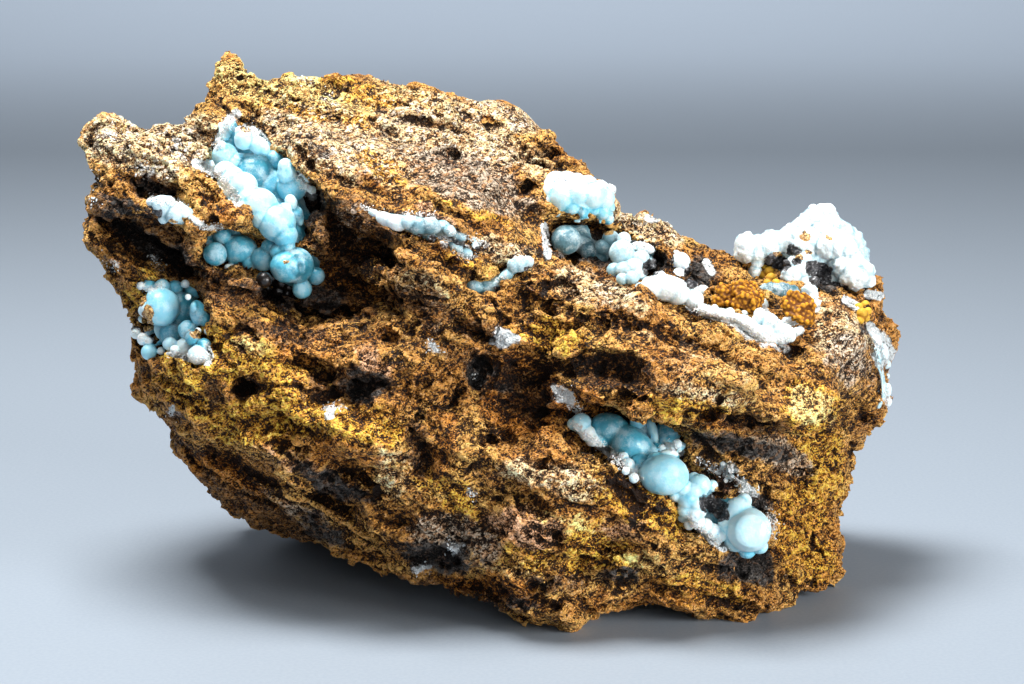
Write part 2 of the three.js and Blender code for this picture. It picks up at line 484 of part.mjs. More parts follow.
// About the distance inside a tilted ellipsoid. The point and the centre are in the layout.
function insideEllipsoid([a, b, d], { at, half, tilt }) {
  const angle = degToRad(tilt);
  const [da, db] = [a - at[0], b - at[1]];
  const along = da * Math.cos(angle) + db * Math.sin(angle);
  const across = db * Math.cos(angle) - da * Math.sin(angle);
  const reach = Math.hypot(along / half[0], across / half[1], (d - at[2]) / half[2]);
  return (1 - reach) * Math.min(...half);
}

const hollows = Object.values(HOLLOWS).flat();
const lumps = Object.values(LUMPS).flat();
const rimDepth = soundingSurface(OUTLINE, RIM_SPREAD);
const frontDepth = soundingSurface(Object.values(FRONT).flat(), SOUNDING_SPREAD);
const backDepth = soundingSurface(BACK, BACK_SPREAD);
const inset = new Relief(insideOutline);
const front = new Relief((a, b) => {
  const fullness = rounding(inset.at(a, b)[0], FRONT_ROUNDING);
  return lerp(rimDepth(a, b) - RIM_HALF, frontDepth(a, b), fullness);
});
const back = new Relief((a, b) => {
  const fullness = rounding(inset.at(a, b)[0], BACK_ROUNDING);
  return lerp(rimDepth(a, b) + RIM_HALF, backDepth(a, b), fullness);
});

// How far the roughness lifts the surface at a place in the layout.
function roughness(a, b, d) {
  const along = a * Math.cos(BEDDING) + b * Math.sin(BEDDING);
  const through = b * Math.cos(BEDDING) - a * Math.sin(BEDDING);
  let lift = 0;
  for (const { size, height, stretch, creased } of ROUGHNESS) {
    const bumps = noise(along / size / stretch, d / size, through / size);
    lift += height * (creased ? CREASE.gain * Math.abs(bumps) - CREASE.drop : bumps);
  }
  const waver = BED_WAVER.reach * noise(a / BED_WAVER.size, b / BED_WAVER.size, d / BED_WAVER.size);
  const bed = (through + BED_LEAN * d + waver) / BED_THICKNESS;
  const rise = bed - Math.floor(bed);
  const lip = rise < BED_LIP ? rise / BED_LIP : (1 - rise) / (1 - BED_LIP);
  const strength = BED_SHARE * (1 + noise(a / BED_FADE, b / BED_FADE, d / BED_FADE));
  return lift + BED_STEP * strength * (2 * lip - 1);
}

// Height of the underside above the ground.
function archOver(x, y) {
  const fromFeet = FEET.map((foot) => ((x - foot.x) ** 2 + (y - foot.y) ** 2) / foot.reach ** 2);
  const clear = Math.min(...fromFeet, ARCH.furthest);
  const waver = ARCH_WAVER.reach * noise(x / ARCH_WAVER.size, y / ARCH_WAVER.size, ARCH_WAVER.level);
  return Math.max(0, ARCH.height * clear + waver - ARCH.sag);
}

function warped(a, b, d) {
  const at = [a, b, d].map((length) => length / WARP.size);
  return [a, b, d].map((length, n) => length + WARP.reach * noise(at[0], at[1] + WARP.apart * n, at[2]));
}

function stoneField(x, y, z) {
  const [a, b, d] = layoutOf(x, y, z);
  const [edge] = inset.at(a, b);
  const [frontAt, frontSlope] = front.at(a, b);
  const [backAt, backSlope] = back.at(a, b);
  const bent = warped(a, b, d);
  let field = softMin((d - frontAt) * frontSlope, (backAt - d) * backSlope, BLEND.faces);
  for (const lump of lumps) field = -softMin(-field, -insideEllipsoid(bent, lump), BLEND.lumps);
  for (const heel of HEELS) field = -softMin(-field, -insideEllipsoid(bent, heel), BLEND.heels);
  field = softMin(field, edge - RIM_TRIM, BLEND.outline);
  field += roughness(a, b, d) * clamp(edge / RIM_CALM.reach, RIM_CALM.share, 1);
  for (const hollow of hollows) field = softMin(field, -insideEllipsoid(bent, hollow), BLEND.hollows);
  return Math.min(field, z - archOver(x, y));
}

// A crust before the stone is cut from it: balls that run into each other.
function crustField(centres) {
  return (x, y, z) => {
    let field = -Infinity;
    for (const [cx, cy, cz, radius] of centres) {
      const ball = radius - Math.hypot(x - cx, y - cy, z - cz);
      field = field === -Infinity ? ball : -softMin(-field, -ball, BLEND.balls);
    }
    return field;
  };
}

// ---- Meshing a field: one vertex in each grid cell that the surface crosses ----

const CORNERS = [0, 1, 2, 3, 4, 5, 6, 7].map((n) => [n & 1, (n >> 1) & 1, n >> 2]);
const EDGES = [
  [0, 1], [2, 3], [4, 5], [6, 7], [0, 2], [1, 3], [4, 6], [5, 7], [0, 4], [1, 5], [2, 6], [3, 7],
];

// True if the corners with this sign hang together along the cell's edges.
function oneGroup(signs, sign) {
  const group = CORNERS.map((_, n) => n);
  for (const [p, q] of EDGES)
    if (signs[p] === sign && signs[q] === sign) {
      const [keep, drop] = [group[p], group[q]];
      group.forEach((g, n) => {
        if (g === drop) group[n] = keep;
      });
    }
  return new Set(group.filter((_, n) => signs[n] === sign)).size <= 1;
}

const SLIVER = 0.02; // how far past a corner, in cells, the surface goes where the corner changes sides
const SIDES = [[0, 1, 3, 2], [4, 5, 7, 6], [0, 1, 5, 4], [2, 3, 7, 6], [0, 2, 6, 4], [1, 3, 7, 5]];

// True if the surface passes through the cell once, and crosses none of its sides twice.
function isPlain(signs) {
  const [same, unlike] = [(p, q) => signs[p] === signs[q], (p, q) => signs[p] !== signs[q]];
  const twice = SIDES.some(([p, q, r, s]) => same(p, r) && same(q, s) && unlike(p, q));
  return !twice && oneGroup(signs, true) && oneGroup(signs, false);
}

class FieldMesh {
  constructor(field, box, cell) {
    const size = box.getSize(new THREE.Vector3());
    this.cell = cell;
    this.low = box.min;
    this.count = [size.x, size.y, size.z].map((length) => Math.ceil(length / cell) + 1);
    this.values = new Float64Array(this.count[0] * this.count[1] * this.count[2]);
    this.eachPoint((i, j, k) => {
      const [x, y, z] = [this.low.x + i * cell, this.low.y + j * cell, this.low.z + k * cell];
      this.values[this.index(i, j, k)] = field(x, y, z);
    });
  }

  index(i, j, k) {
    return i + this.count[0] * (j + this.count[1] * k);
  }

  eachPoint(visit, less = 0) {
    for (let k = 0; k < this.count[2] - less; k++)
      for (let j = 0; j < this.count[1] - less; j++)
        for (let i = 0; i < this.count[0] - less; i++) visit(i, j, k);
  }

  corners(i, j, k) {
    return CORNERS.map(([di, dj, dk]) => this.index(i + di, j + dj, k + dk));
  }

  // Fills cells where the surface would meet itself, so that the mesh is a clean skin.
  untangle() {
    let filled = 0;
    this.eachPoint((i, j, k) => {
      const corners = this.corners(i, j, k);
      const signs = corners.map((c) => this.values[c] > 0);
      if (signs.every((s) => s === signs[0]) || isPlain(signs)) return;
      const outside = corners.filter((c) => this.values[c] <= 0);
      const nearest = outside.reduce((best, c) => (this.values[c] > this.values[best] ? c : best));
      this.values[nearest] = SLIVER * this.cell;
      filled += 1;
    }, 1);
    return filled;
  }

  // Keeps the largest body, and fills what is sealed inside it.
  keepOneBody() {
    const label = new Int32Array(this.values.length);
    const sizes = [0];
    const strides = [1, this.count[0], this.count[0] * this.count[1]];
    const steps = [...strides, ...strides.map((stride) => -stride)];
    for (let start = 0; start < label.length; start++) {
      if (label[start]) continue;
      const mark = sizes.length;
      const sign = this.values[start] > 0;
      const stack = [start];
      label[start] = mark;
      sizes.push(0);
      while (stack.length) {
        const at = stack.pop();
        sizes[mark] += 1;
        for (const step of steps) {
          const next = at + step;
          if (next < 0 || next >= label.length || label[next] || this.values[next] > 0 !== sign) continue;
          label[next] = mark;
          stack.push(next);
        }
      }
    }
    const outer = label[0];
    const inner = sizes.reduce((best, size, n) => (n && n !== outer && size > sizes[best] ? n : best), 0);
    label.forEach((mark, n) => {
      if (mark === outer || mark === inner) return;
      this.values[n] = (this.values[n] > 0 ? -SLIVER : SLIVER) * this.cell;
    });
  }

  geometry() {
    const vertexOf = new Map();
    const positions = [];
    this.eachPoint((i, j, k) => {
      const corners = this.corners(i, j, k);
      const sum = [0, 0, 0];
      let crossings = 0;
      for (const [p, q] of EDGES) {
        const [vp, vq] = [this.values[corners[p]], this.values[corners[q]]];
        if (vp > 0 === vq > 0) continue;
        const t = vp / (vp - vq);
        for (let axis = 0; axis < 3; axis++) sum[axis] += CORNERS[p][axis] * (1 - t) + CORNERS[q][axis] * t;
        crossings += 1;
      }
      if (!crossings) return;
      vertexOf.set(this.index(i, j, k), positions.length / 3);
      positions.push(
        this.low.x + this.cell * (i + sum[0] / crossings),
        this.low.y + this.cell * (j + sum[1] / crossings),
        this.low.z + this.cell * (k + sum[2] / crossings),
      );
    }, 1);
    const triangles = [];
    const strides = [1, this.count[0], this.count[0] * this.count[1]];
    this.eachPoint((i, j, k) => {
      const here = this.index(i, j, k);
      for (let axis = 0; axis < 3; axis++) {
        if ([i, j, k][axis] + 1 >= this.count[axis]) continue;
        const inside = this.values[here] > 0;
        if (inside === this.values[here + strides[axis]] > 0) continue;
        const [s, t] = [strides[(axis + 1) % 3], strides[(axis + 2) % 3]];
        const ring = [here - s - t, here - t, here, here - s].map((cellIndex) => vertexOf.get(cellIndex));
        if (!inside) ring.reverse();
        triangles.push(ring[0], ring[1], ring[2], ring[0], ring[2], ring[3]);
      }
    });
    return { positions, triangles };
  }
}

// ---- Thinning a mesh: the edge whose loss changes the surface least goes first ----

class Heap {
  constructor() {
    this.items = [];
  }

  push(item) {
    const items = this.items;
    items.push(item);
    let n = items.length - 1;
    while (n > 0 && items[(n - 1) >> 1].cost > items[n].cost) {
      [items[n], items[(n - 1) >> 1]] = [items[(n - 1) >> 1], items[n]];
      n = (n - 1) >> 1;
    }
  }

  pop() {
    const items = this.items;
    const top = items[0];
    const last = items.pop();
    if (!items.length) return top;
    items[0] = last;
    for (let n = 0; ; ) {
      let least = n;
      for (const child of [2 * n + 1, 2 * n + 2])
        if (child < items.length && items[child].cost < items[least].cost) least = child;
      if (least === n) return top;
      [items[n], items[least]] = [items[least], items[n]];
      n = least;
    }
  }
}

const LENGTH_COST = 1e-4; // makes the shorter of two equally harmless edges go first
const LEAST_TURN_COSINE = 0.25; // a face may turn no further than this
const LEAST_FACE = 1e-3; // twice the area of the smallest face that may be left
const GONE = 1e6; // added to the version of a point that is gone

class Thinner {
  constructor({ positions, triangles }) {
    this.points = [];
    for (let n = 0; n < positions.length; n += 3)
      this.points.push(new THREE.Vector3().fromArray(positions, n));
    this.faces = [];
    for (let n = 0; n < triangles.length; n += 3) this.faces.push(triangles.slice(n, n + 3));
    this.facesOf = this.points.map(() => new Set());
    this.faces.forEach((face, n) => face.forEach((v) => this.facesOf[v].add(n)));
    this.quadrics = this.points.map(() => new Float64Array(10));
    this.version = new Int32Array(this.points.length);
    this.left = this.faces.length;
    for (const face of this.faces) this.addPlane(face);
  }

  normal([p, q, r]) {
    const edge = new THREE.Vector3().subVectors(this.points[q], this.points[p]);
    return edge.cross(new THREE.Vector3().subVectors(this.points[r], this.points[p]));
  }

  addPlane(face) {
    const normal = this.normal(face);
    const area = normal.length() / 2;
    normal.normalize();
    const { x, y, z } = normal;
    const w = -normal.dot(this.points[face[0]]);
    const terms = [x * x, x * y, x * z, x * w, y * y, y * z, y * w, z * z, z * w, w * w];
    for (const v of face) terms.forEach((term, n) => (this.quadrics[v][n] += term * area));
  }

  cost(quadric, { x, y, z }) {
    const [xx, xy, xz, xw, yy, yz, yw, zz, zw, ww] = quadric;
    const squares = xx * x * x + yy * y * y + zz * z * z + ww;
    return squares + 2 * (xy * x * y + xz * x * z + yz * y * z + xw * x + yw * y + zw * z);
  }

  neighbours(v) {
    const found = new Set();
    for (const f of this.facesOf[v]) for (const other of this.faces[f]) if (other !== v) found.add(other);
    return found;
  }

  offer(heap, p, q) {
    const quadric = this.quadrics[p].map((term, n) => term + this.quadrics[q][n]);
    const choices = [this.points[p], this.points[q], this.points[p].clone().lerp(this.points[q], 0.5)];
    const [best, cost] = choices
      .map((at) => [at, this.cost(quadric, at)])
      .reduce((least, each) => (each[1] < least[1] ? each : least));
    const length = LENGTH_COST * this.points[p].distanceToSquared(this.points[q]);
    heap.push({ cost: cost + length, p, q, at: best.clone(), quadric, stamp: this.stamp(p, q) });
  }

  // Changes with either point, so that an offer made before the change can be told from one made after it.
  stamp(p, q) {
    return this.version[p] + this.version[q];
  }

  // True if the collapse leaves a clean skin and turns no face over.
  allowed(p, q, at) {
    const near = this.neighbours(q);
    let shared = 0;
    for (const v of this.neighbours(p)) if (near.has(v)) shared += 1;
    if (shared !== 2) return false;
    for (const v of [p, q])
      for (const f of this.facesOf[v]) {
        const face = this.faces[f];
        if (face.includes(p) && face.includes(q)) continue;
        const before = this.normal(face);
        const kept = this.points[v];
        this.points[v] = at;
        const after = this.normal(face);
        this.points[v] = kept;
        const turned = before.dot(after) < LEAST_TURN_COSINE * before.length() * after.length();
        if (turned || after.length() < LEAST_FACE) return false;
      }
    return true;
  }

  collapse({ p, q, at, quadric }) {
    this.points[p] = at;
    this.quadrics[p] = quadric;
    for (const f of [...this.facesOf[q]]) {
      const face = this.faces[f];
      if (face.includes(p)) {
        face.forEach((v) => this.facesOf[v].delete(f));
        this.faces[f] = null;
        this.left -= 1;
      } else {
        face[face.indexOf(q)] = p;
        this.facesOf[p].add(f);
      }
    }
    this.facesOf[q].clear();
    this.version[q] += GONE;
    this.version[p] += 1;
  }

  thin(target) {
    const heap = new Heap();
    this.points.forEach((_, p) => this.neighbours(p).forEach((q) => p < q && this.offer(heap, p, q)));
    while (this.left > target && heap.items.length) {
      const edge = heap.pop();
      if (edge.stamp !== this.stamp(edge.p, edge.q) || !this.allowed(edge.p, edge.q, edge.at)) continue;
      this.collapse(edge);
      for (const v of this.neighbours(edge.p)) this.offer(heap, edge.p, v);
    }
    return this;
  }

  geometry() {
    const made = new THREE.BufferGeometry();
    const positions = this.points.flatMap((p) => p.toArray());
    made.setAttribute("position", new THREE.Float32BufferAttribute(positions, 3));
    made.setIndex(this.faces.filter(Boolean).flat());
    return mergeVertices(made.toNonIndexed(), SAME_POINT);
  }
}

function thinned({ attributes, index }, triangles) {
  const mesh = { positions: attributes.position.array, triangles: [...index.array] };
  return new Thinner(mesh).thin(triangles).geometry();
}

function meshField(field, box, cell, triangles) {
  const mesh = new FieldMesh(field, box, cell);
  while (mesh.untangle() > 0);
  mesh.keepOneBody();
  return new Thinner(mesh.geometry()).thin(triangles).geometry();
}

// ---- Cutting one solid from another ----

const wasm = await Module();
wasm.setup();

function solidOf(geometry) {
  const merged = mergeVertices(geometry, SAME_POINT);
  const vertProperties = new Float32Array(merged.attributes.position.array);
  const triVerts = new Uint32Array(merged.index.array);
  return new wasm.Manifold(new wasm.Mesh({ numProp: 3, vertProperties, triVerts }));
}

function geometryOf(solid) {
  const { numProp, numVert, vertProperties, triVerts } = solid.getMesh();
  const positions = new Float32Array(numVert * 3);
  for (let n = 0; n < numVert; n++)
    positions.set(vertProperties.subarray(n * numProp, n * numProp + 3), n * 3);
  const made = new THREE.BufferGeometry();
  made.setAttribute("position", new THREE.BufferAttribute(positions, 3));
  made.setIndex([...triVerts]);
  return made;
}

function largestBody(solid) {
  return solid.decompose().reduce((largest, body) => (body.volume() > largest.volume() ? body : largest));
}

// The same closed skin, moved out along its vertex normals.
function grown(geometry, distance) {
  const made = geometry.clone();
  made.computeVertexNormals();
  const { position, normal } = made.attributes;
  for (let n = 0; n < position.count; n++)
    position.setXYZ(
      n,
      position.getX(n) + distance * normal.getX(n),
      position.getY(n) + distance * normal.getY(n),
      position.getZ(n) + distance * normal.getZ(n),
    );
  made.deleteAttribute("normal");
  return made;
}

// What a new crust keeps clear of: all that is there, with the clearance that it is cut to, and a thinner one
// that it is cut to once more after it was thinned.
class TakenSpace {
  constructor(geometry) {
    this.seat = solidOf(grown(geometry, SEAT_GAP));
    this.guard = solidOf(grown(geometry, SEAT_GUARD));
  }

  add(geometry) {
    this.seat = this.seat.add(solidOf(grown(geometry, SEAT_GAP)));
    this.guard = this.guard.add(solidOf(grown(geometry, SEAT_GUARD)));
  }
}

// ---- The pieces ----

function makeStone() {
  const geometry = meshField(stoneField, STONE_BOX, STONE_CELL, STONE_TRIANGLES);
  const { position } = geometry.attributes;
  for (let n = 0; n < position.count; n++) if (position.getZ(n) < FOOT_FLAT) position.setZ(n, 0);
  return geometry;
}

// The depth at which a line of sight meets the stone.
function faceDepth(a, b) {
  let d = SIGHT.from;
  while (stoneField(...place([a, b, d])) <= 0 && d < SIGHT.to) d += SEAT_STEP;
  return d;
}

// The balls in the part's frame. A seated crust's third number is how far a ball stands out from the face.
function ballsInPlace({ balls, seated }) {
  return balls.map(([a, b, d, radius]) => [...place([a, b, seated ? faceDepth(a, b) - d : d]), radius]);
}

function makeCrust(crust, taken) {
  const centres = ballsInPlace(crust);
  const box = new THREE.Box3();
  for (const [x, y, z, radius] of centres) {
    const size = new THREE.Vector3().setScalar(2 * (radius + CRUST_MARGIN));
    box.union(new THREE.Box3().setFromCenterAndSize(new THREE.Vector3(x, y, z), size));
  }
  const whole = meshField(crustField(centres), box, CRUST_CELL, CRUST_TRIANGLES.first * centres.length);
  const seatedCrust = largestBody(solidOf(whole).subtract(taken.seat));
  const thin = solidOf(thinned(geometryOf(seatedCrust), CRUST_TRIANGLES.last * centres.length));
  return geometryOf(largestBody(thin.subtract(taken.guard)));
}

function named(name, geometry, slot) {
  const mesh = new THREE.Mesh(geometry, new THREE.MeshStandardMaterial(FINISHES[slot]));
  mesh.name = name;
  return mesh;
}

const specimen = new THREE.Group();
const stone = makeStone();
specimen.add(named("matrix", stone, "gossan"));
const taken = new TakenSpace(stone);
for (const [name, crust] of Object.entries(CRUSTS)) {
  const geometry = makeCrust(crust, taken);
  taken.add(geometry);
  specimen.add(named(name, geometry, crust.slot));
}

const middle = new THREE.Box3().setFromObject(specimen).getCenter(new THREE.Vector3());
for (const { geometry } of specimen.children) geometry.translate(-middle.x, -middle.y, 0);

export default specimen;
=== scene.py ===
"""The looks of a hemimorphite hand specimen: a rough gossan block with blue botryoidal crusts in its hollows.

Metres, +Z up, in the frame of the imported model. Places on the show face are given on a drawing plane that
leans back through the stone, as [u, v] in the drawing's own units from its top left corner.
"""
import json
import logging
import math
from dataclasses import dataclass, field
from enum import Enum
from itertools import product

import bmesh
import bpy
import numpy as np
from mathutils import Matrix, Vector
from mathutils.bvhtree import BVHTree
from mathutils.kdtree import KDTree

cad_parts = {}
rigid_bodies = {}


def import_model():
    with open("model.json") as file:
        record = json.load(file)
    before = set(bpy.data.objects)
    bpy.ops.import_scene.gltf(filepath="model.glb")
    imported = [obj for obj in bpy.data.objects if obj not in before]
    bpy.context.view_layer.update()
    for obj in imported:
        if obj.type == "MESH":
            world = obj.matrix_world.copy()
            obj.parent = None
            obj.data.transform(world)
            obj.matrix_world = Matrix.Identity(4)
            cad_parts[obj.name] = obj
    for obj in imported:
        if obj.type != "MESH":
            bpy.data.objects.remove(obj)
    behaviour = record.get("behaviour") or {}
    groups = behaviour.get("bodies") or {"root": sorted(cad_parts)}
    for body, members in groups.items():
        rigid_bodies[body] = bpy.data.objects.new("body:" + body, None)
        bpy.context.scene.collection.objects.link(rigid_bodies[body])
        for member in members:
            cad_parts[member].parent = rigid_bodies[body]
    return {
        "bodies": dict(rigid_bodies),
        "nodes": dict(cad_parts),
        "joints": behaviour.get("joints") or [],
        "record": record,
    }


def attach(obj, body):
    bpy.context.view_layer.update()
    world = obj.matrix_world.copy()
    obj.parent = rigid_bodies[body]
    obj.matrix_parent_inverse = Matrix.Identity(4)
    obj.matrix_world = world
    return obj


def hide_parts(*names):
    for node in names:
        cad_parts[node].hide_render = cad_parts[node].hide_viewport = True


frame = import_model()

MM = 0.001
BODY = "root"
log = logging.getLogger("hemimorphite")


class Slot(Enum):
    """The record's material slots."""

    GOSSAN = "gossan"
    BLUE = "blue_crust"
    PALE = "pale_crust"
    WHITE = "white_crust"
    LIMONITE = "limonite"


# ---- The drawing plane ----


@dataclass(frozen=True)
class Drawing:
    """The leaning plane that places on the show face are given on, as the eye sees it.

    Attributes:
        width: Units across the drawing.
        height: Units down the drawing.
        unit: Length of one unit.
        eye: Distance from the eye to the plane.
        lean: Angle that the plane leans back by.
        middle: The drawing's middle in the part's frame.
    """

    width: int = 1024
    height: int = 684
    unit: float = 0.1235 * MM
    eye: float = 350 * MM
    lean: float = math.radians(10)
    middle: tuple[float, float, float] = (2.107 * MM, -3.759 * MM, 30.6 * MM)

    def axes(self) -> np.ndarray:
        """Across, up and away from the eye, one in each row."""
        cos, sin = math.cos(self.lean), math.sin(self.lean)
        return np.array([[1, 0, 0], [0, sin, cos], [0, cos, -sin]])

    def eye_place(self) -> Vector:
        """Where the eye is, in the part's frame."""
        return Vector(np.array(self.middle) - self.eye * self.axes()[2])

    def locate(self, points: np.ndarray) -> np.ndarray:
        """Works out where places of the part lie on the drawing.

        Args:
            points: One place in each row.

        Returns:
            The units across, the units down and the depth behind the plane, one place in each row.
        """
        across, up, away = ((points - np.array(self.middle)) @ self.axes().T).T
        narrowing = self.eye / (self.eye + away) / self.unit
        return np.stack([self.width / 2 + across * narrowing, self.height / 2 - up * narrowing, away], axis=1)

    def spots(self, points: np.ndarray) -> np.ndarray:
        """The units across and down of places of the part, one place in each row."""
        return self.locate(points)[:, :2]

    def sight_line(self, u: float, v: float) -> Vector:
        """Gives the direction in which the eye sees a place of the drawing."""
        on_plane = np.array([(u - self.width / 2) * self.unit, (self.height / 2 - v) * self.unit, self.eye])
        return Vector(on_plane @ self.axes()).normalized()


DRAWING = Drawing()


# ---- Noise ----

SCATTER_PRIMES = (374761393, 668265263, 2246822519, 1274126177)
GRADIENT_COUNT = 16
NOISE_GAIN = 1.7  # brings gradient noise to about -1 to 1
JITTER_BITS = 1023
JITTER_SHIFTS = (0, 10, 20)  # where in a scattered number its three shares lie


def scattered(cells: np.ndarray, seed: int) -> np.ndarray:
    """Gives a scattered 32-bit number for each point of a lattice.

    Args:
        cells: Whole numbers, three in each row.
        seed: Which scatter to use.

    Returns:
        One number for each row.
    """
    parts = (cells.astype(np.int64) & 0xFFFFFFFF).astype(np.uint32)
    mixed = np.full(len(cells), (seed * SCATTER_PRIMES[3]) & 0xFFFFFFFF, np.uint32)
    for axis in range(3):
        mixed ^= parts[:, axis] * np.uint32(SCATTER_PRIMES[axis])
        mixed ^= mixed >> np.uint32(15)
        mixed *= np.uint32(SCATTER_PRIMES[3])
    return mixed ^ (mixed >> np.uint32(16))


def noise(points: np.ndarray, seed: int = 0) -> np.ndarray:
    """Smooth noise from about -1 to 1 with bumps about one unit apart.

    Args:
        points: Places, one in each row.
        seed: Which noise to use.

    Returns:
        One value for each place.
    """
    slopes = np.random.default_rng(GRADIENT_COUNT).normal(size=(GRADIENT_COUNT, 3))
    slopes /= np.linalg.norm(slopes, axis=1, keepdims=True)
    base = np.floor(points)
    part = points - base
    fade = part**3 * (part * (part * 6 - 15) + 10)
    total = np.zeros(len(points))
    for corner in product((0, 1), repeat=3):
        slope = slopes[scattered(base + corner, seed) % GRADIENT_COUNT]
        reach = ((part - corner) * slope).sum(axis=1)
        total += reach * np.where(corner, fade, 1 - fade).prod(axis=1)
    return NOISE_GAIN * total


def creased(points: np.ndarray, seed: int = 0) -> np.ndarray:
    """Rounded lumps with sharp valleys between them, from about -1 to 1."""
    return 3.2 * np.abs(noise(points, seed)) - 0.9


def noises(points: np.ndarray, seed: int, count: int = 3) -> np.ndarray:
    """Several noises in columns, with seeds that follow each other."""
    return np.stack([noise(points, seed + n) for n in range(count)], axis=1)


def shares_of(marks: np.ndarray, shifts: tuple[int, ...] = JITTER_SHIFTS) -> np.ndarray:
    """Takes shares from 0 to 1 out of scattered numbers, in columns."""
    return np.stack([(marks >> np.uint32(shift)) & JITTER_BITS for shift in shifts], axis=1) / JITTER_BITS


def cell_distance(points: np.ndarray, seed: int = 0) -> np.ndarray:
    """Gives the distance to the nearest of points that are scattered one to each lattice cell.

    Args:
        points: Places, one in each row.
        seed: Which scatter to use.

    Returns:
        One distance for each place.
    """
    base = np.floor(points)
    nearest = np.full(len(points), np.inf)
    for step in product((-1, 0, 1), repeat=3):
        cell = base + step
        out = cell + shares_of(scattered(cell, seed)) - points
        nearest = np.minimum(nearest, np.linalg.norm(out, axis=1))
    return nearest


def nearest_cell(points: np.ndarray, seed: int = 0) -> tuple[np.ndarray, np.ndarray]:
    """Finds the nearest of points that are scattered about the middles of lattice cells.

    Args:
        points: Places, one in each row.
        seed: Which scatter to use.

    Returns:
        The step from the nearest point to each place, and that point's scattered number.
    """
    base = np.floor(points - 0.5)
    nearest = np.full(len(points), np.inf)
    steps, marks = np.zeros((len(points), 3)), np.zeros(len(points), np.uint32)
    for corner in product((0, 1), repeat=3):
        cell = base + corner
        mark = scattered(cell, seed)
        step = points - cell - 0.5 - 0.7 * (shares_of(mark) - 0.5)
        distance = (step**2).sum(axis=1)
        closer = distance < nearest
        nearest[closer], steps[closer], marks[closer] = distance[closer], step[closer], mark[closer]
    return steps, marks


def smooth_step(values: np.ndarray, low: float, high: float) -> np.ndarray:
    """Rises smoothly from 0 at low to 1 at high, or falls if low is above high."""
    share = np.clip((values - low) / (high - low), 0, 1)
    return share * share * (3 - 2 * share)


# ---- Meshes as arrays ----

Shape = tuple[np.ndarray, np.ndarray]  # points and triangles
WEIGHT_STEPS = 10  # how finely the weights of a vertex group are told apart


def points_of(mesh: bpy.types.Mesh) -> np.ndarray:
    """The places of a mesh's points, one in each row.

    Args:
        mesh: The mesh to read.

    Returns:
        Three numbers for each point.
    """
    found = np.empty(3 * len(mesh.vertices), np.float32)
    mesh.vertices.foreach_get("co", found)
    return found.reshape(-1, 3).astype(float)


def normals_of(mesh: bpy.types.Mesh) -> np.ndarray:
    """The normals of a mesh's points, one in each row.

    Args:
        mesh: The mesh to read.

    Returns:
        Three numbers for each point.
    """
    found = np.empty(3 * len(mesh.vertices), np.float32)
    mesh.vertices.foreach_get("normal", found)
    return found.reshape(-1, 3).astype(float)


def triangles_of(mesh: bpy.types.Mesh) -> np.ndarray:
    """The point numbers of a mesh's triangles, one triangle in each row.

    Args:
        mesh: The mesh to read.

    Returns:
        Three numbers for each triangle.
    """
    mesh.calc_loop_triangles()
    found = np.empty(3 * len(mesh.loop_triangles), np.int32)
    mesh.loop_triangles.foreach_get("vertices", found)
    return found.reshape(-1, 3)


def move_points(mesh: bpy.types.Mesh, points: np.ndarray) -> None:
    """Puts a mesh's points at new places, one in each row."""
    mesh.vertices.foreach_set("co", points.astype(np.float32).ravel())
    mesh.update()


def store(mesh: bpy.types.Mesh, name: str, values: np.ndarray) -> None:
    """Keeps one value for each point of a mesh as a named attribute."""
    layer = mesh.attributes.get(name) or mesh.attributes.new(name, "FLOAT", "POINT")
    layer.data.foreach_set("value", values.astype(np.float32))


def mesh_from(name: str, points: np.ndarray, faces: np.ndarray) -> bpy.types.Mesh:
    """Makes a mesh of triangles.

    Args:
        name: What to call it.
        points: Places, one in each row.
        faces: Point numbers, three in each row.

    Returns:
        The mesh.
    """
    made = bpy.data.meshes.new(name)
    made.vertices.add(len(points))
    made.vertices.foreach_set("co", points.astype(np.float32).ravel())
    made.loops.add(faces.size)
    made.loops.foreach_set("vertex_index", faces.astype(np.int32).ravel())
    made.polygons.add(len(faces))
    made.polygons.foreach_set("loop_start", np.arange(0, faces.size, 3, dtype=np.int32))
    made.update(calc_edges=True)
    return made


def calmed(mesh: bpy.types.Mesh, points: np.ndarray, rounds: int, share: float = 0.6) -> np.ndarray:
    """Draws each point towards the middle of its neighbours.

    Args:
        mesh: Gives the edges.
        points: The places to start from, one in each row.
        rounds: How often to do it.
        share: How far to go each time.

    Returns:
        The new places.
    """
    ends = np.empty(2 * len(mesh.edges), np.int32)
    mesh.edges.foreach_get("vertices", ends)
    low, high = ends.reshape(-1, 2).T
    count = len(points)
    neighbours = np.bincount(ends, minlength=count)[:, None]
    for _ in range(rounds):
        sums = [
            np.bincount(low, points[high, axis], count) + np.bincount(high, points[low, axis], count)
            for axis in range(3)
        ]
        points = points + share * (np.stack(sums, axis=1) / neighbours - points)
    return points


def placed(name: str, data: bpy.types.ID) -> bpy.types.Object:
    """Puts a mesh, a lamp or a camera in the scene as an object.

    Args:
        name: The object's name.
        data: The mesh, lamp or camera.

    Returns:
        The object.
    """
    made = bpy.data.objects.new(name, data)
    bpy.context.scene.collection.objects.link(made)
    return made


def smooth_shaded(mesh: bpy.types.Mesh) -> None:
    """Shades a mesh as one round surface."""
    mesh.polygons.foreach_set("use_smooth", np.ones(len(mesh.polygons), bool))


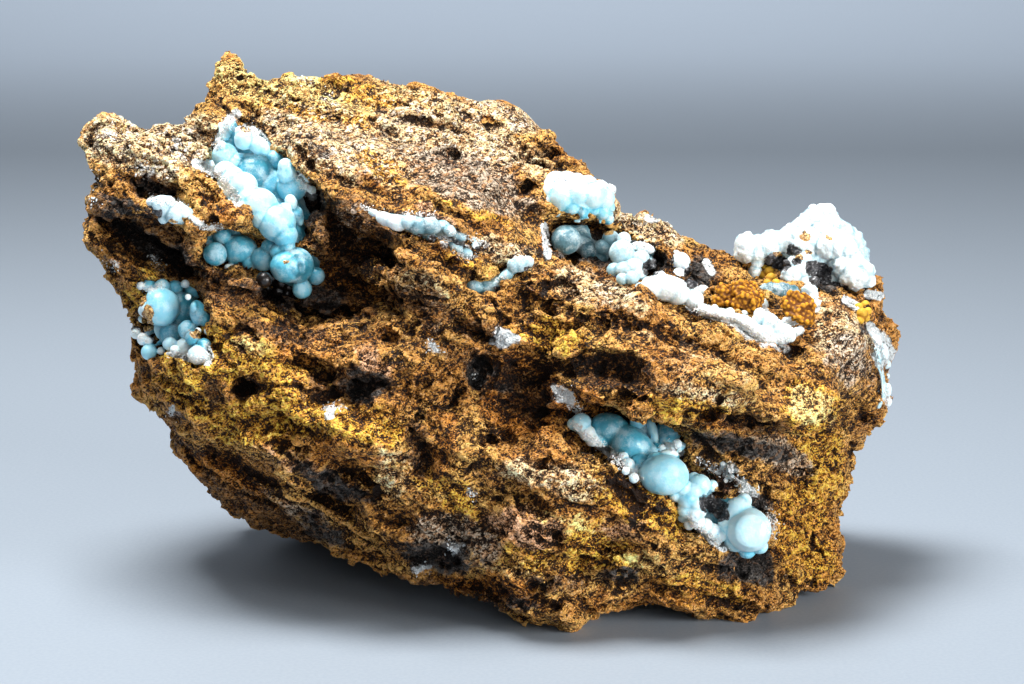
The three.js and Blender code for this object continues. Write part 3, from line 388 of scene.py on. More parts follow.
def after_modifier(
    mesh: bpy.types.Mesh, kind: str, weights: np.ndarray | None = None, **settings: object
) -> bpy.types.Mesh:
    """Runs one of Blender's modifiers over a mesh.

    Args:
        mesh: What to run it over.
        kind: The modifier's type.
        weights: The weight of each point in the group "weights", if the modifier uses one.
        **settings: The modifier's own settings.

    Returns:
        A new mesh.
    """
    holder = placed("holder", mesh)
    if weights is not None:
        group = holder.vertex_groups.new(name="weights")
        steps = np.round(weights * WEIGHT_STEPS).astype(int)
        for step in np.unique(steps):
            group.add(np.flatnonzero(steps == step).tolist(), step / WEIGHT_STEPS, "REPLACE")
    modifier = holder.modifiers.new("shape", kind)
    for name, value in settings.items():
        setattr(modifier, name, value)
    evaluated = holder.evaluated_get(bpy.context.evaluated_depsgraph_get())
    made = bpy.data.meshes.new_from_object(evaluated)
    bpy.data.objects.remove(holder)
    return made


def remeshed(mesh: bpy.types.Mesh, voxel: float) -> bpy.types.Mesh:
    """Gives the mesh's outer skin on an even grid with cells of the size voxel."""
    return after_modifier(mesh, "REMESH", mode="VOXEL", voxel_size=voxel)


def unit_ball(level: int) -> Shape:
    """Makes a ball of radius 1.

    Args:
        level: How finely it is divided.

    Returns:
        Its points and its triangles.
    """
    made = bmesh.new()
    bmesh.ops.create_icosphere(made, subdivisions=level, radius=1)
    points = np.array([tuple(vertex.co) for vertex in made.verts])
    faces = np.array([[vertex.index for vertex in face.verts] for face in made.faces])
    made.free()
    return points, faces


def put_together(parts: list[Shape]) -> Shape:
    """Joins points and triangles of several parts into one set.

    Args:
        parts: The points and the triangles of each part.

    Returns:
        The points and the triangles of all the parts.
    """
    starts = np.cumsum([0] + [len(points) for points, _ in parts])
    faces = [part_faces + start for (_, part_faces), start in zip(parts, starts)]
    return np.concatenate([points for points, _ in parts]), np.concatenate(faces)


def copies(shape: Shape, turns: np.ndarray, places: np.ndarray) -> Shape:
    """Sets out many copies of a small shape as one set of points and triangles.

    Args:
        shape: The points and the triangles of the shape.
        turns: A 3 by 3 matrix for each copy, which turns and scales it.
        places: Where each copy goes.

    Returns:
        All the points and all the triangles.
    """
    points, faces = shape
    moved = np.einsum("nij,pj->npi", turns, points) + places[:, None, :]
    numbers = faces[None, :, :] + len(points) * np.arange(len(places))[:, None, None]
    return moved.reshape(-1, 3), numbers.reshape(-1, 3)


def add_piece(
    name: str, mesh: bpy.types.Mesh, slot: Slot, material: bpy.types.Material, *nodes: str
) -> bpy.types.Object:
    """Puts a finished piece in the scene and tells the frame about it.

    Args:
        name: The piece's name.
        mesh: Its mesh.
        slot: The record's slot that its finish belongs to; not used.
        material: Its finish.
        *nodes: The nodes of the frame that it stands for.

    Returns:
        The piece.
    """
    piece = placed(name, mesh)
    mesh.materials.clear()
    mesh.materials.append(material)
    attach(piece, BODY)
    if nodes:
        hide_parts(*nodes)
    log.info("%s: %d triangles", name, len(triangles_of(mesh)))
    return piece


class Sight:
    """Finds what the eye meets at a place of the drawing."""

    def __init__(self, meshes: list[bpy.types.Mesh]) -> None:
        """Takes in the meshes that can be met.

        Args:
            meshes: The meshes, in the part's frame.
        """
        points, faces = put_together([(points_of(mesh), triangles_of(mesh)) for mesh in meshes])
        self.tree = BVHTree.FromPolygons(points.tolist(), faces.tolist())
        self.eye = DRAWING.eye_place()

    def meet(self, u: float, v: float) -> tuple[Vector, Vector, Vector] | None:
        """Looks along one line of sight.

        Args:
            u: Units across the drawing.
            v: Units down the drawing.

        Returns:
            The place that is met, the surface's normal there and the line's direction, or None.
        """
        direction = DRAWING.sight_line(u, v)
        place, normal, _, _ = self.tree.ray_cast(self.eye, direction)
        return None if place is None else (place, normal, direction)


# ---- Node trees ----

Colour = tuple[float, float, float]
Socket = bpy.types.NodeSocket


class Web:
    """A node tree that is wired up by short calls."""

    def __init__(self, tree: bpy.types.NodeTree) -> None:
        """Takes a tree to add nodes to."""
        self.tree = tree

    def node(self, kind: str, inputs: dict | None = None, **settings: object) -> bpy.types.Node:
        """Adds a node.

        Args:
            kind: The node's type, without the leading "ShaderNode".
            inputs: What goes in, by the socket's name or number: another socket, or a value.
            **settings: The node's own settings.

        Returns:
            The node.
        """
        made = self.tree.nodes.new("ShaderNode" + kind)
        for name, value in settings.items():
            setattr(made, name, value)
        self.feed(made.inputs, inputs or {})
        return made

    def feed(self, sockets: bpy.types.NodeInputs, inputs: dict) -> None:
        """Links sockets, or sets them where they are given a plain value.

        Args:
            sockets: The inputs of a node.
            inputs: What goes in, by the socket's name or number: another socket, or a value.
        """
        for name, value in inputs.items():
            socket = sockets[name]
            if isinstance(value, Socket):
                self.tree.links.new(value, socket)
            else:
                socket.default_value = (*value, 1) if socket.type == "RGBA" else value

    def millimetres(self, stretch: Colour = (1, 1, 1), tilt: float = 0) -> Socket:
        """Gives the place on the object in millimetres.

        Args:
            stretch: How much longer the pattern is drawn out along each axis.
            tilt: Angle by which the axes are turned about Y first.

        Returns:
            A vector socket.
        """
        place = self.node("TexCoord").outputs["Object"]
        scale = tuple(1 / MM / length for length in stretch)
        inputs = {"Vector": place, "Rotation": (0, tilt, 0)}
        turned = self.node("Mapping", inputs, vector_type="POINT").outputs[0]
        return self.node("VectorMath", {0: turned, 1: scale}, operation="MULTIPLY").outputs[0]

    def noise(self, place: Socket, size: float, detail: float = 2, rough: float = 0.5) -> Socket:
        """Noise from 0 to 1."""
        inputs = {"Vector": place, "Scale": 1 / size, "Detail": detail, "Roughness": rough}
        return self.node("TexNoise", inputs).outputs["Fac"]

    def cells(self, place: Socket, size: float) -> Socket:
        """Distance to the nearest of scattered points that are about size apart."""
        return self.node("TexVoronoi", {"Vector": place, "Scale": 1 / size}).outputs["Distance"]

    def specks(self, place: Socket, size: float) -> tuple[Socket, Socket]:
        """Two values from 0 to 1 that change from grain to grain, for grains that are about size across.

        Args:
            place: Where on the object.
            size: About how large a grain is.

        Returns:
            The two values.
        """
        cells = self.node("TexVoronoi", {"Vector": place, "Scale": 1 / size})
        parts = self.node("SeparateColor", {0: cells.outputs["Color"]})
        return parts.outputs[0], parts.outputs[1]

    def work(self, operation: str, first: Socket | float, second: Socket | float) -> Socket:
        """Works with two values, as the operation's name says."""
        return self.node("Math", {0: first, 1: second}, operation=operation).outputs[0]

    def plus(self, first: Socket | float, second: Socket | float) -> Socket:
        """The sum of two values."""
        return self.work("ADD", first, second)

    def minus(self, first: Socket | float, second: Socket | float) -> Socket:
        """The first value less the second."""
        return self.work("SUBTRACT", first, second)

    def times(self, first: Socket | float, second: Socket | float) -> Socket:
        """The product of two values."""
        return self.work("MULTIPLY", first, second)

    def range(self, value: Socket, low: float, high: float, to_low: float = 0, to_high: float = 1) -> Socket:
        """Rises smoothly from to_low, where the value is low, to to_high, where it is high."""
        inputs = {"Value": value, "From Min": low, "From Max": high, "To Min": to_low, "To Max": to_high}
        return self.node("MapRange", inputs, interpolation_type="SMOOTHSTEP").outputs["Result"]

    def ramp(self, value: Socket, stops: dict[float, Colour]) -> Socket:
        """Gives a colour for a value.

        Args:
            value: From 0 to 1.
            stops: The colour at each value; between them it runs evenly.

        Returns:
            A colour socket.
        """
        made = self.node("ValToRGB", {"Fac": value})
        elements = made.color_ramp.elements
        while len(elements) < len(stops):
            elements.new(0.5)
        for element, (position, colour) in zip(elements, sorted(stops.items())):
            element.position = position
            element.color = (*colour, 1)
        return made.outputs["Color"]

    def mix(
        self, share: Socket | float, first: Socket | Colour, second: Socket | Colour, mode: str = "MIX"
    ) -> Socket:
        """Goes from the first colour to the second, or blends them, by the share."""
        settings = {"data_type": "RGBA", "blend_type": mode, "clamp_result": True}
        return self.node("Mix", {0: share, 6: first, 7: second}, **settings).outputs[2]

    def attribute(self, name: str) -> Socket:
        """The value that the mesh holds under a name."""
        return self.node("Attribute", attribute_name=name).outputs["Fac"]

    def bump(self, height: Socket, distance: float, strength: float = 1) -> Socket:
        """A normal that follows a height of 0 to 1 over a distance."""
        inputs = {"Height": height, "Distance": distance, "Strength": strength}
        return self.node("Bump", inputs).outputs["Normal"]

    def group(self, effect: bpy.types.NodeTree, inputs: dict) -> bpy.types.NodeOutputs:
        """Places a shared effect in this tree and gives its outputs."""
        return self.node("Group", inputs, node_tree=effect).outputs


def new_effect(
    name: str, inputs: tuple[str, ...], outputs: tuple[str, ...]
) -> tuple[Web, Socket, bpy.types.NodeOutputs, bpy.types.NodeInputs]:
    """Starts a shader node group that follows a vector.

    Args:
        name: What to call it.
        inputs: The value inputs that it has beside Vector and Scale.
        outputs: Its value outputs.

    Returns:
        A web to add nodes with, the scaled vector, and the group's inputs and its outputs by name.
    """
    tree = bpy.data.node_groups.new(name, "ShaderNodeTree")
    tree.interface.new_socket("Vector", in_out="INPUT", socket_type="NodeSocketVector")
    for side, sockets in (("INPUT", ("Scale", *inputs)), ("OUTPUT", outputs)):
        for socket in sockets:
            tree.interface.new_socket(socket, in_out=side, socket_type="NodeSocketFloat")
    web, taken = Web(tree), tree.nodes.new("NodeGroupInput").outputs
    scaled = {0: taken["Vector"], "Scale": taken["Scale"]}
    place = web.node("VectorMath", scaled, operation="SCALE").outputs[0]
    return web, place, taken, tree.nodes.new("NodeGroupOutput").inputs


class Effects:
    """The effects that several finishes share."""

    def __init__(self) -> None:
        """Builds each effect once."""
        self.grain = self.make_grain()
        self.ragged = self.make_ragged()
        self.frost = self.make_frost()

    def make_grain(self) -> bpy.types.NodeTree:
        """Makes crumbly grain: pits that take a painted shade, and a height, both of one size.

        Returns:
            The node group.
        """
        web, place, _, given = new_effect("grain", (), ("Pits", "Height"))
        coarse = web.noise(place, 1.0, 3, 0.65)
        other = web.node("VectorMath", {0: place, 1: (17.0, 5.0, 9.0)}, operation="ADD").outputs[0]
        crumbs = web.times(web.cells(other, 1.1), 0.35)
        web.feed(given, {"Pits": web.range(coarse, 0.46, 0.36), "Height": web.minus(coarse, crumbs)})
        return web.tree

    def make_ragged(self) -> bpy.types.NodeTree:
        """Makes a soft mask ragged, so that it breaks up along its edge.

        Returns:
            The node group.
        """
        web, place, taken, given = new_effect("ragged", ("Mask",), ("Mask",))
        broken = web.plus(taken["Mask"], web.times(web.noise(place, 1.0, 5, 0.7), 1.5))
        web.feed(given, {"Mask": web.range(broken, 1.05, 1.4)})
        return web.tree

    def make_frost(self) -> bpy.types.NodeTree:
        """Makes the sugary skin of fine crystals: white grains and a height.

        Returns:
            The node group.
        """
        web, place, _, given = new_effect("frost", (), ("White", "Height"))
        patches = web.noise(place, 5.0, 3, 0.6)
        grains = web.times(web.cells(place, 1.0), 0.6)
        fine = web.noise(place, 0.6, 2, 0.6)
        white = web.range(web.plus(patches, web.times(fine, 0.4)), 0.62, 0.85)
        web.feed(given, {"White": white, "Height": web.minus(fine, grains)})
        return web.tree


def new_material(name: str) -> tuple[bpy.types.Material, Web, bpy.types.Node]:
    """Starts a material.

    Args:
        name: What to call it.

    Returns:
        The material, a web to add nodes with, and its Principled node.
    """
    made = bpy.data.materials.new(name)
    made.use_nodes = True
    return made, Web(made.node_tree), made.node_tree.nodes["Principled BSDF"]


BED_TILT = math.radians(24)  # dip of the beds across the face, down to the right

STAINS: dict[str, Colour] = {
    "bleached": (0.78, 0.54, 0.29),
    "mustard": (0.74, 0.36, 0.03),
    "straw": (0.88, 0.58, 0.20),
    "rust": (0.44, 0.165, 0.014),
    "rosy": (0.52, 0.29, 0.155),
    "slate": (0.44, 0.35, 0.255),
    # painted shade: dark brown laid into recesses where shadow falls
    "painted_recess_shade": (0.16, 0.068, 0.013),
    # dark manganese patches, and in some recesses painted shade
    "manganese_and_shade": (0.06, 0.053, 0.05),
    "druse": (0.80, 0.86, 0.88),
}


# Multiplier on the rock's colour by its tone: the grains' own random tone, with painted shade in gaps,
# creases and hollows and painted light on the crowns
SHADES: dict[float, Colour] = {
    0.0: (0.03, 0.02, 0.015),
    0.24: (0.17, 0.11, 0.075),
    0.42: (0.66, 0.54, 0.42),
    0.6: (1, 1, 1),
}


@dataclass(frozen=True)
class GossanFinish:
    """Crumbly iron-stained rock: ochre, rust and black, with pale flecks.

    Attributes:
        name: The material's name.
        beds: How much longer the pattern is along the beds than through them.
        brown: Colour of plain rock where it is darker.
        ochre: The same where it is lighter.
        rusty: Colour of scattered rusty grains.
        ashen: Colour of scattered grains in bleached rock.
        cream: Colour of the crowns of bleached rock, partly a painted highlight.
        glint: Colour of the brightest grains: white crystal specks with a painted highlight.
        lift: How much brighter the crowns of plain rock are, partly a painted highlight.
        shine: How strongly it mirrors light.
        rise: How far its finest relief stands out.
    """

    name: str = "gossan"
    beds: float = 1.8
    brown: Colour = (0.36, 0.155, 0.02)
    ochre: Colour = (0.56, 0.31, 0.07)
    rusty: Colour = (0.46, 0.18, 0.025)
    ashen: Colour = (0.70, 0.66, 0.62)
    cream: Colour = (0.9, 0.72, 0.42)
    glint: Colour = (0.98, 0.93, 0.84)
    lift: Colour = (1.9, 1.9, 2.0)
    shine: float = 0.35
    rise: float = 0.6 * MM

    def material(self, effects: Effects) -> bpy.types.Material:
        """Makes the material.

        Args:
            effects: The shared effects.

        Returns:
            The material.
        """
        made, web, shader = new_material(self.name)
        plain = web.millimetres()
        bedded = web.millimetres((self.beds, self.beds, 1), BED_TILT)
        broad = web.range(web.noise(bedded, 6, 3, 0.55), 0.38, 0.62)
        hue = web.mix(broad, self.brown, self.ochre)
        for stain, tint in STAINS.items():
            mask = web.group(effects.ragged, {"Mask": web.attribute(stain), "Vector": bedded, "Scale": 0.5})
            hue = web.mix(mask["Mask"], hue, tint)
        small, large = web.specks(plain, 0.18), web.specks(bedded, 0.4)
        grit = web.noise(plain, 0.24, 2, 0.6)
        grains = web.noise(bedded, 0.6, 3, 0.65)
        clots = web.noise(bedded, 2.6, 3, 0.6)
        gaps = web.range(web.cells(bedded, 0.5), 0.5, 0.8)
        tone = 0.55
        for source, share in ((small[0], 1.0), (large[0], 0.5), (grit, 2.0), (grains, 1.3), (clots, 1.0)):
            tone = web.plus(tone, web.times(web.minus(source, 0.5), share))
        # painted shade in the gaps between grains
        tone = web.minus(tone, web.times(gaps, 0.35))
        # painted shade in creases and painted light where the rock stands out
        tone = web.plus(tone, web.times(web.attribute("relief"), 0.5))
        # painted shade in the pits, pockets and cracks
        tone = web.minus(tone, web.times(web.attribute("hollow"), 0.35))
        covered = web.attribute("druse")
        pale = web.range(web.attribute("bleached"), 0.3, 0.9)
        lit = web.minus(1, web.times(web.attribute("manganese_and_shade"), 0.75))
        rusty = web.times(web.range(large[1], 0.5, 0.9, 0, 0.6), lit)
        hue = web.mix(web.minus(rusty, covered), hue, self.rusty)
        hue = web.mix(web.times(web.range(large[1], 0.35, 0.1, 0, 0.6), pale), hue, self.ashen)
        colour = web.mix(1.0, hue, web.ramp(tone, SHADES), "MULTIPLY")
        # painted highlight: the crowns of highest tone are lifted towards cream
        tips = web.times(web.range(tone, 0.62, 1.0), lit)
        bright = web.mix(1.0, hue, self.lift, "MULTIPLY")
        colour = web.mix(tips, colour, web.mix(web.range(pale, 0, 1, 0.08, 0.35), bright, self.cream))
        # painted highlight: near-white glints on the brightest grains of pale rock, which also stand for
        # white crystal specks
        glints = web.times(web.range(small[1], 0.72, 0.85), web.range(pale, 0, 1, 0.12, 0.6))
        colour = web.mix(web.times(glints, tips), colour, self.glint)
        sugar = web.group(effects.ragged, {"Mask": covered, "Vector": plain, "Scale": 1.5})
        height = web.plus(web.times(grit, 1.1), web.times(grains, 1.2))
        height = web.plus(height, web.times(small[0], 0.3))
        height = web.minus(height, web.times(gaps, 0.4))
        web.feed(shader.inputs, {
            "Base Color": web.mix(web.times(sugar["Mask"], 0.85), colour, STAINS["druse"]),
            "Roughness": web.range(small[1], 0.1, 0.9, 0.4, 0.95),
            "Specular IOR Level": self.shine,
            "Normal": web.bump(height, self.rise, 1.0),
        })
        return made


FROST_TINT: Colour = (0.76, 0.83, 0.84)
DUST_TINT: Colour = (0.30, 0.17, 0.06)
OCHRE_GRAINS: dict[float, Colour] = {
    0.0: (0.03, 0.015, 0.006), 0.4: (0.30, 0.13, 0.02), 1.0: (0.80, 0.52, 0.2),
}
BLACK_GRAINS: dict[float, Colour] = {
    0.0: (0.008, 0.008, 0.01), 0.5: (0.05, 0.05, 0.055), 1.0: (0.4, 0.4, 0.42),
}


@dataclass(frozen=True)
class CrustFinish:
    """Botryoidal hemimorphite: waxy and half clear, from white to cyan.

    Attributes:
        name: The material's name.
        tones: Colours from a white crust to the deepest blue.
        frosting: How much of it is frosted white.
        dust: How much rock dust lies in its creases.
        creases: How much deeper its tone is in its creases, as painted shade.
        grit: Height of the fine crystals of its skin.
    """

    name: str
    tones: tuple[Colour, ...] = (
        (0.77, 0.86, 0.88),
        (0.40, 0.73, 0.83),
        (0.12, 0.50, 0.66),
        (0.03, 0.22, 0.30),
    )
    frosting: float = 0.5
    dust: float = 0.5
    creases: float = 0.25
    grit: float = 0.05 * MM

    def material(self, effects: Effects) -> bpy.types.Material:
        """Makes the material.

        Args:
            effects: The shared effects.

        Returns:
            The material.
        """
        made, web, shader = new_material(self.name)
        place = web.millimetres()
        uneven = web.minus(web.noise(place, 1.8, 3, 0.6), 0.5)
        tone = web.plus(web.attribute("tone"), web.times(uneven, 0.3))
        # painted shade: a deeper tone in the creases between balls
        tone = web.plus(tone, web.times(web.attribute("crease"), self.creases))
        colour = web.ramp(tone, {n / (len(self.tones) - 1): colour for n, colour in enumerate(self.tones)})
        frost = web.group(effects.frost, {"Vector": place, "Scale": 3.2})
        colour = web.mix(web.times(frost["White"], self.frosting), colour, FROST_TINT)
        dust, ochre, black = (
            web.group(effects.ragged, {"Mask": web.attribute(name), "Vector": place, "Scale": scale})["Mask"]
            for name, scale in (("dust", 1.4), ("ochre", 1.4), ("black", 1.1))
        )
        grain, other = web.specks(place, 0.2)
        colour = web.mix(web.times(dust, self.dust), colour, DUST_TINT)
        colour = web.mix(ochre, colour, web.ramp(grain, OCHRE_GRAINS))
        colour = web.mix(black, colour, web.ramp(web.times(grain, other), BLACK_GRAINS))
        covered = web.work("MAXIMUM", ochre, black)
        web.feed(shader.inputs, {
            "Base Color": colour,
            "Roughness": web.range(frost["White"], 0, 1, 0.28, 0.55),
            "Subsurface Weight": web.range(covered, 0, 1, 0.7, 0),
            "Subsurface Radius": (0.8, 1.0, 1.15),
            "Subsurface Scale": 0.45 * MM,
            "IOR": 1.6,
            "Normal": web.bump(frost["Height"], self.grit, 0.7),
        })
        return made


SUGAR_TONES: tuple[Colour, ...] = (
    (0.90, 0.95, 0.96), (0.74, 0.84, 0.88), (0.5, 0.66, 0.72), (0.3, 0.45, 0.5),
)
PALE_TONES: tuple[Colour, ...] = (
    (0.75, 0.83, 0.85), (0.48, 0.65, 0.71), (0.22, 0.41, 0.48), (0.045, 0.14, 0.18),
)


@dataclass(frozen=True)
class LimoniteFinish:
    """Small glossy beads of limonite and goethite.

    Attributes:
        name: The material's name.
        dark: Colour in the creases, a painted shade.
        light: Colour on the crowns.
        gloss: Roughness of the beads.
        shine: How strongly they mirror light.
    """

    name: str
    dark: Colour = (0.13, 0.042, 0.006)
    light: Colour = (0.70, 0.31, 0.022)
    gloss: float = 0.5
    shine: float = 0.15

    def material(self, effects: Effects) -> bpy.types.Material:
        """Makes the material.

        Args:
            effects: The shared effects.

        Returns:
            The material.
        """
        made, web, shader = new_material(self.name)
        grain = web.group(effects.grain, {"Vector": web.millimetres(), "Scale": 2.2})
        # painted shade: darker in the creases between beads and in the pits
        colour = web.mix(web.range(web.attribute("relief"), -0.15, 0.7), self.dark, self.light)
        web.feed(shader.inputs, {
            "Base Color": web.mix(web.times(grain["Pits"], 0.45), colour, self.dark),
            "Roughness": self.gloss,
            "Specular IOR Level": self.shine,
            "Normal": web.bump(grain["Height"], 0.1 * MM, 0.5),
        })
        return made


# ---- The stone ----


@dataclass(frozen=True)
class Spot:
    """An oval place on the show face, in units of the drawing.

    Attributes:
        u: Middle, across.
        v: Middle, down.
        length: Half its length.
        width: Half its width.
        tilt: How far its length dips to the right, in degrees.
        amount: How strong it is; for a pit, its depth in millimetres.
    """

    u: float
    v: float
    length: float
    width: float
    tilt: float = 0
    amount: float = 1

    def reach(self, places: np.ndarray) -> np.ndarray:
        """Gives how far out places lie.

        Args:
            places: Units across and down, one place in each row.

        Returns:
            0 in the middle and 1 on the oval's edge, for each place.
        """
        angle = math.radians(self.tilt)
        across, down = places[:, 0] - self.u, places[:, 1] - self.v
        along = across * math.cos(angle) + down * math.sin(angle)
        beside = down * math.cos(angle) - across * math.sin(angle)
        return np.hypot(along / self.length, beside / self.width)


def spots(*rows: tuple[float, ...]) -> tuple[Spot, ...]:
    """Makes spots from rows of u, v, length, width and, where given, tilt and amount."""
    return tuple(Spot(*row) for row in rows)


def line_distance(places: np.ndarray, line: tuple[tuple[float, float], ...]) -> np.ndarray:
    """How far places on the drawing lie from a line of straight parts, in units of the drawing.

    Args:
        places: Units across and down, one place in each row.
        line: The line's corners.

    Returns:
        One distance for each place.
    """
    nearest = np.full(len(places), np.inf)
    for start, end in zip(line, line[1:]):
        step, out = np.subtract(end, start), places - np.array(start, float)
        share = np.clip(out @ step / (step @ step), 0, 1)
        nearest = np.minimum(nearest, np.linalg.norm(out - share[:, None] * step, axis=1))
    return nearest


def frosted(places: np.ndarray, reach: float) -> np.ndarray:
    """How much fine druse covers places on the drawing, from 0 to 1.

    Args:
        places: Units across and down, one place in each row.
        reach: How far the cover reaches, in half widths of a line of druse.

    Returns:
        One share for each place.
    """
    cover = np.zeros(len(places))
    for druse in DRUSES:
        for line in druse.lines:
            near = smooth_step(line_distance(places, line) / druse.width, reach, 0.3 * reach)
            cover = np.maximum(cover, druse.cover * near)
    return cover


@dataclass(frozen=True)
class Pocket:
    """A hollow with steep walls in the show face.

    Attributes:
        outline: Its edge, as places on the drawing.
        floor: How far behind the drawing plane its floor lies, in millimetres.
        wall: How wide its wall is, in units of the drawing.
    """

    outline: tuple[tuple[float, float], ...]
    floor: float
    wall: float = 7

    def inset(self, places: np.ndarray) -> np.ndarray:
        """Gives how far inside the outline places lie, below 0 where they lie outside.

        Args:
            places: Units across and down, one place in each row.

        Returns:
            One distance for each place, in units of the drawing.
        """
        inside = np.zeros(len(places), bool)
        closed = self.outline + self.outline[:1]
        nearest = line_distance(places, closed)
        for a, b in zip(closed, closed[1:]):
            step = np.subtract(b, a)
            crossed = (a[1] > places[:, 1]) != (b[1] > places[:, 1])
            if step[1]:
                inside ^= crossed & (places[:, 0] < a[0] + (places[:, 1] - a[1]) * step[0] / step[1])
        return np.where(inside, nearest, -nearest)


COMMON_STAIN = 0.35  # how much of the sides that the eye doesn't see a stain takes up
RARE_STAINS = {"druse": -0.4, "manganese_and_shade": 0.1}
NUDGES = (
    (Spot(153, 116, 38, 18), 0, -1.5), (Spot(625, 202, 18, 22), 0, -1.8),
    (Spot(893, 292, 14, 30), -1.2, -0.5), (Spot(904, 336, 14, 24), -1.3, 0),
    (Spot(899, 316, 14, 20), -1.1, 0), (Spot(666, 224, 16, 10), 0, 0.8), (Spot(553, 139, 14, 12), 0.3, 1),
    (Spot(104, 112, 12, 10), 0, 0.5),
)

KNOBS = (
    (226, 61, 8), (235, 65, 8), (227, 70, 13), (216, 79, 8), (206, 91, 13), (224, 82, 18), (238, 76, 12),
    (241, 88, 16), (256, 92, 16), (270, 91, 17), (284, 89, 17), (300, 88, 16), (316, 87, 15), (330, 84, 12),
    (202, 106, 12),
)

POCKETS = (
    Pocket((
        (231, 108), (238, 110), (239, 121), (246, 128), (252, 118), (260, 122), (263, 134), (270, 146),
        (277, 152), (283, 164), (292, 166), (300, 172), (312, 184), (324, 196), (327, 212), (312, 222),
        (304, 222), (300, 232), (297, 246), (288, 252), (279, 247), (273, 232), (262, 227), (250, 223),
        (247, 208), (238, 208), (230, 202), (223, 190), (217, 181), (209, 174), (197, 167), (200, 159),
        (212, 160), (214, 150), (218, 138), (220, 124), (226, 116),
    ), -3, 4),
    Pocket((
        (199, 246), (203, 236), (212, 230), (224, 225), (236, 225), (243, 233), (254, 239), (264, 245),
        (271, 252), (280, 254), (284, 248), (297, 248), (308, 256), (314, 266), (325, 268), (325, 284),
        (313, 290), (311, 298), (300, 303), (290, 299), (276, 296), (262, 290), (257, 276), (254, 265),
        (246, 260), (234, 262), (228, 270), (214, 271), (203, 263),
    ), -8, 4),
    Pocket((
        (148, 196), (165, 190), (185, 200), (192, 214), (185, 228), (170, 228), (154, 216),
    ), -14, 4),
    Pocket((
        (139, 287), (150, 280), (170, 279), (190, 280), (202, 291), (209, 302), (213, 318), (212, 330),
        (216, 345), (214, 359), (204, 366), (192, 364), (182, 358), (172, 353), (162, 356), (152, 362),
        (141, 354), (131, 346), (129, 334), (135, 325), (140, 312), (145, 300),
    ), -4.5, 4),
    Pocket((
        (360, 202), (378, 206), (396, 208), (414, 210), (436, 211), (452, 222), (464, 230), (482, 238),
        (493, 246), (488, 257), (466, 262), (450, 250), (446, 242), (424, 242), (410, 238), (394, 234),
        (384, 226), (370, 219),
    ), -18, 3),
    Pocket((
        (464, 284), (478, 278), (494, 275), (500, 262), (512, 255), (530, 254), (538, 262), (526, 276),
        (512, 282), (500, 292), (488, 301), (470, 293),
    ), -14.5, 3),
    Pocket((
        (552, 222), (562, 217), (580, 215), (598, 219), (612, 227), (634, 236), (652, 248), (664, 250),
        (660, 272), (640, 284), (620, 282), (606, 268), (592, 263), (580, 259), (570, 263), (560, 257),
        (551, 247), (548, 232),
    ), 6.5, 4),
    Pocket((
        (640, 276), (655, 270), (672, 250), (692, 250), (704, 286), (708, 300), (698, 312), (680, 304),
        (660, 303), (644, 294),
    ), -5, 4),
    Pocket((
        (566, 414), (580, 410), (600, 412), (620, 410), (645, 414), (662, 422), (684, 429), (686, 440),
        (682, 452), (692, 462), (696, 474), (714, 478), (716, 492), (704, 500), (698, 512), (710, 518),
        (724, 520), (724, 504), (738, 496), (754, 505), (770, 514), (776, 532), (770, 549), (752, 560),
        (738, 558), (722, 550), (700, 538), (684, 526), (678, 508), (664, 503), (652, 493), (640, 483),
        (628, 480), (614, 464), (606, 450), (590, 447), (572, 432),
    ), -13, 4),
    Pocket((
        (122, 178), (146, 174), (172, 184), (184, 196), (166, 202), (138, 197),
    ), -4, 4),
    Pocket((
        (92, 204), (122, 214), (150, 228), (180, 248), (206, 274), (196, 285), (166, 278), (136, 268),
        (112, 254), (94, 236),
    ), -5, 6),
    Pocket((
        (262, 272), (290, 298), (330, 300), (374, 306), (362, 322), (318, 326), (280, 316), (252, 296),
    ), -6, 7),
    Pocket((
        (322, 190), (344, 206), (366, 228), (396, 250), (410, 266), (384, 280), (350, 280), (330, 258),
        (320, 225),
    ), -7.5, 12),
)

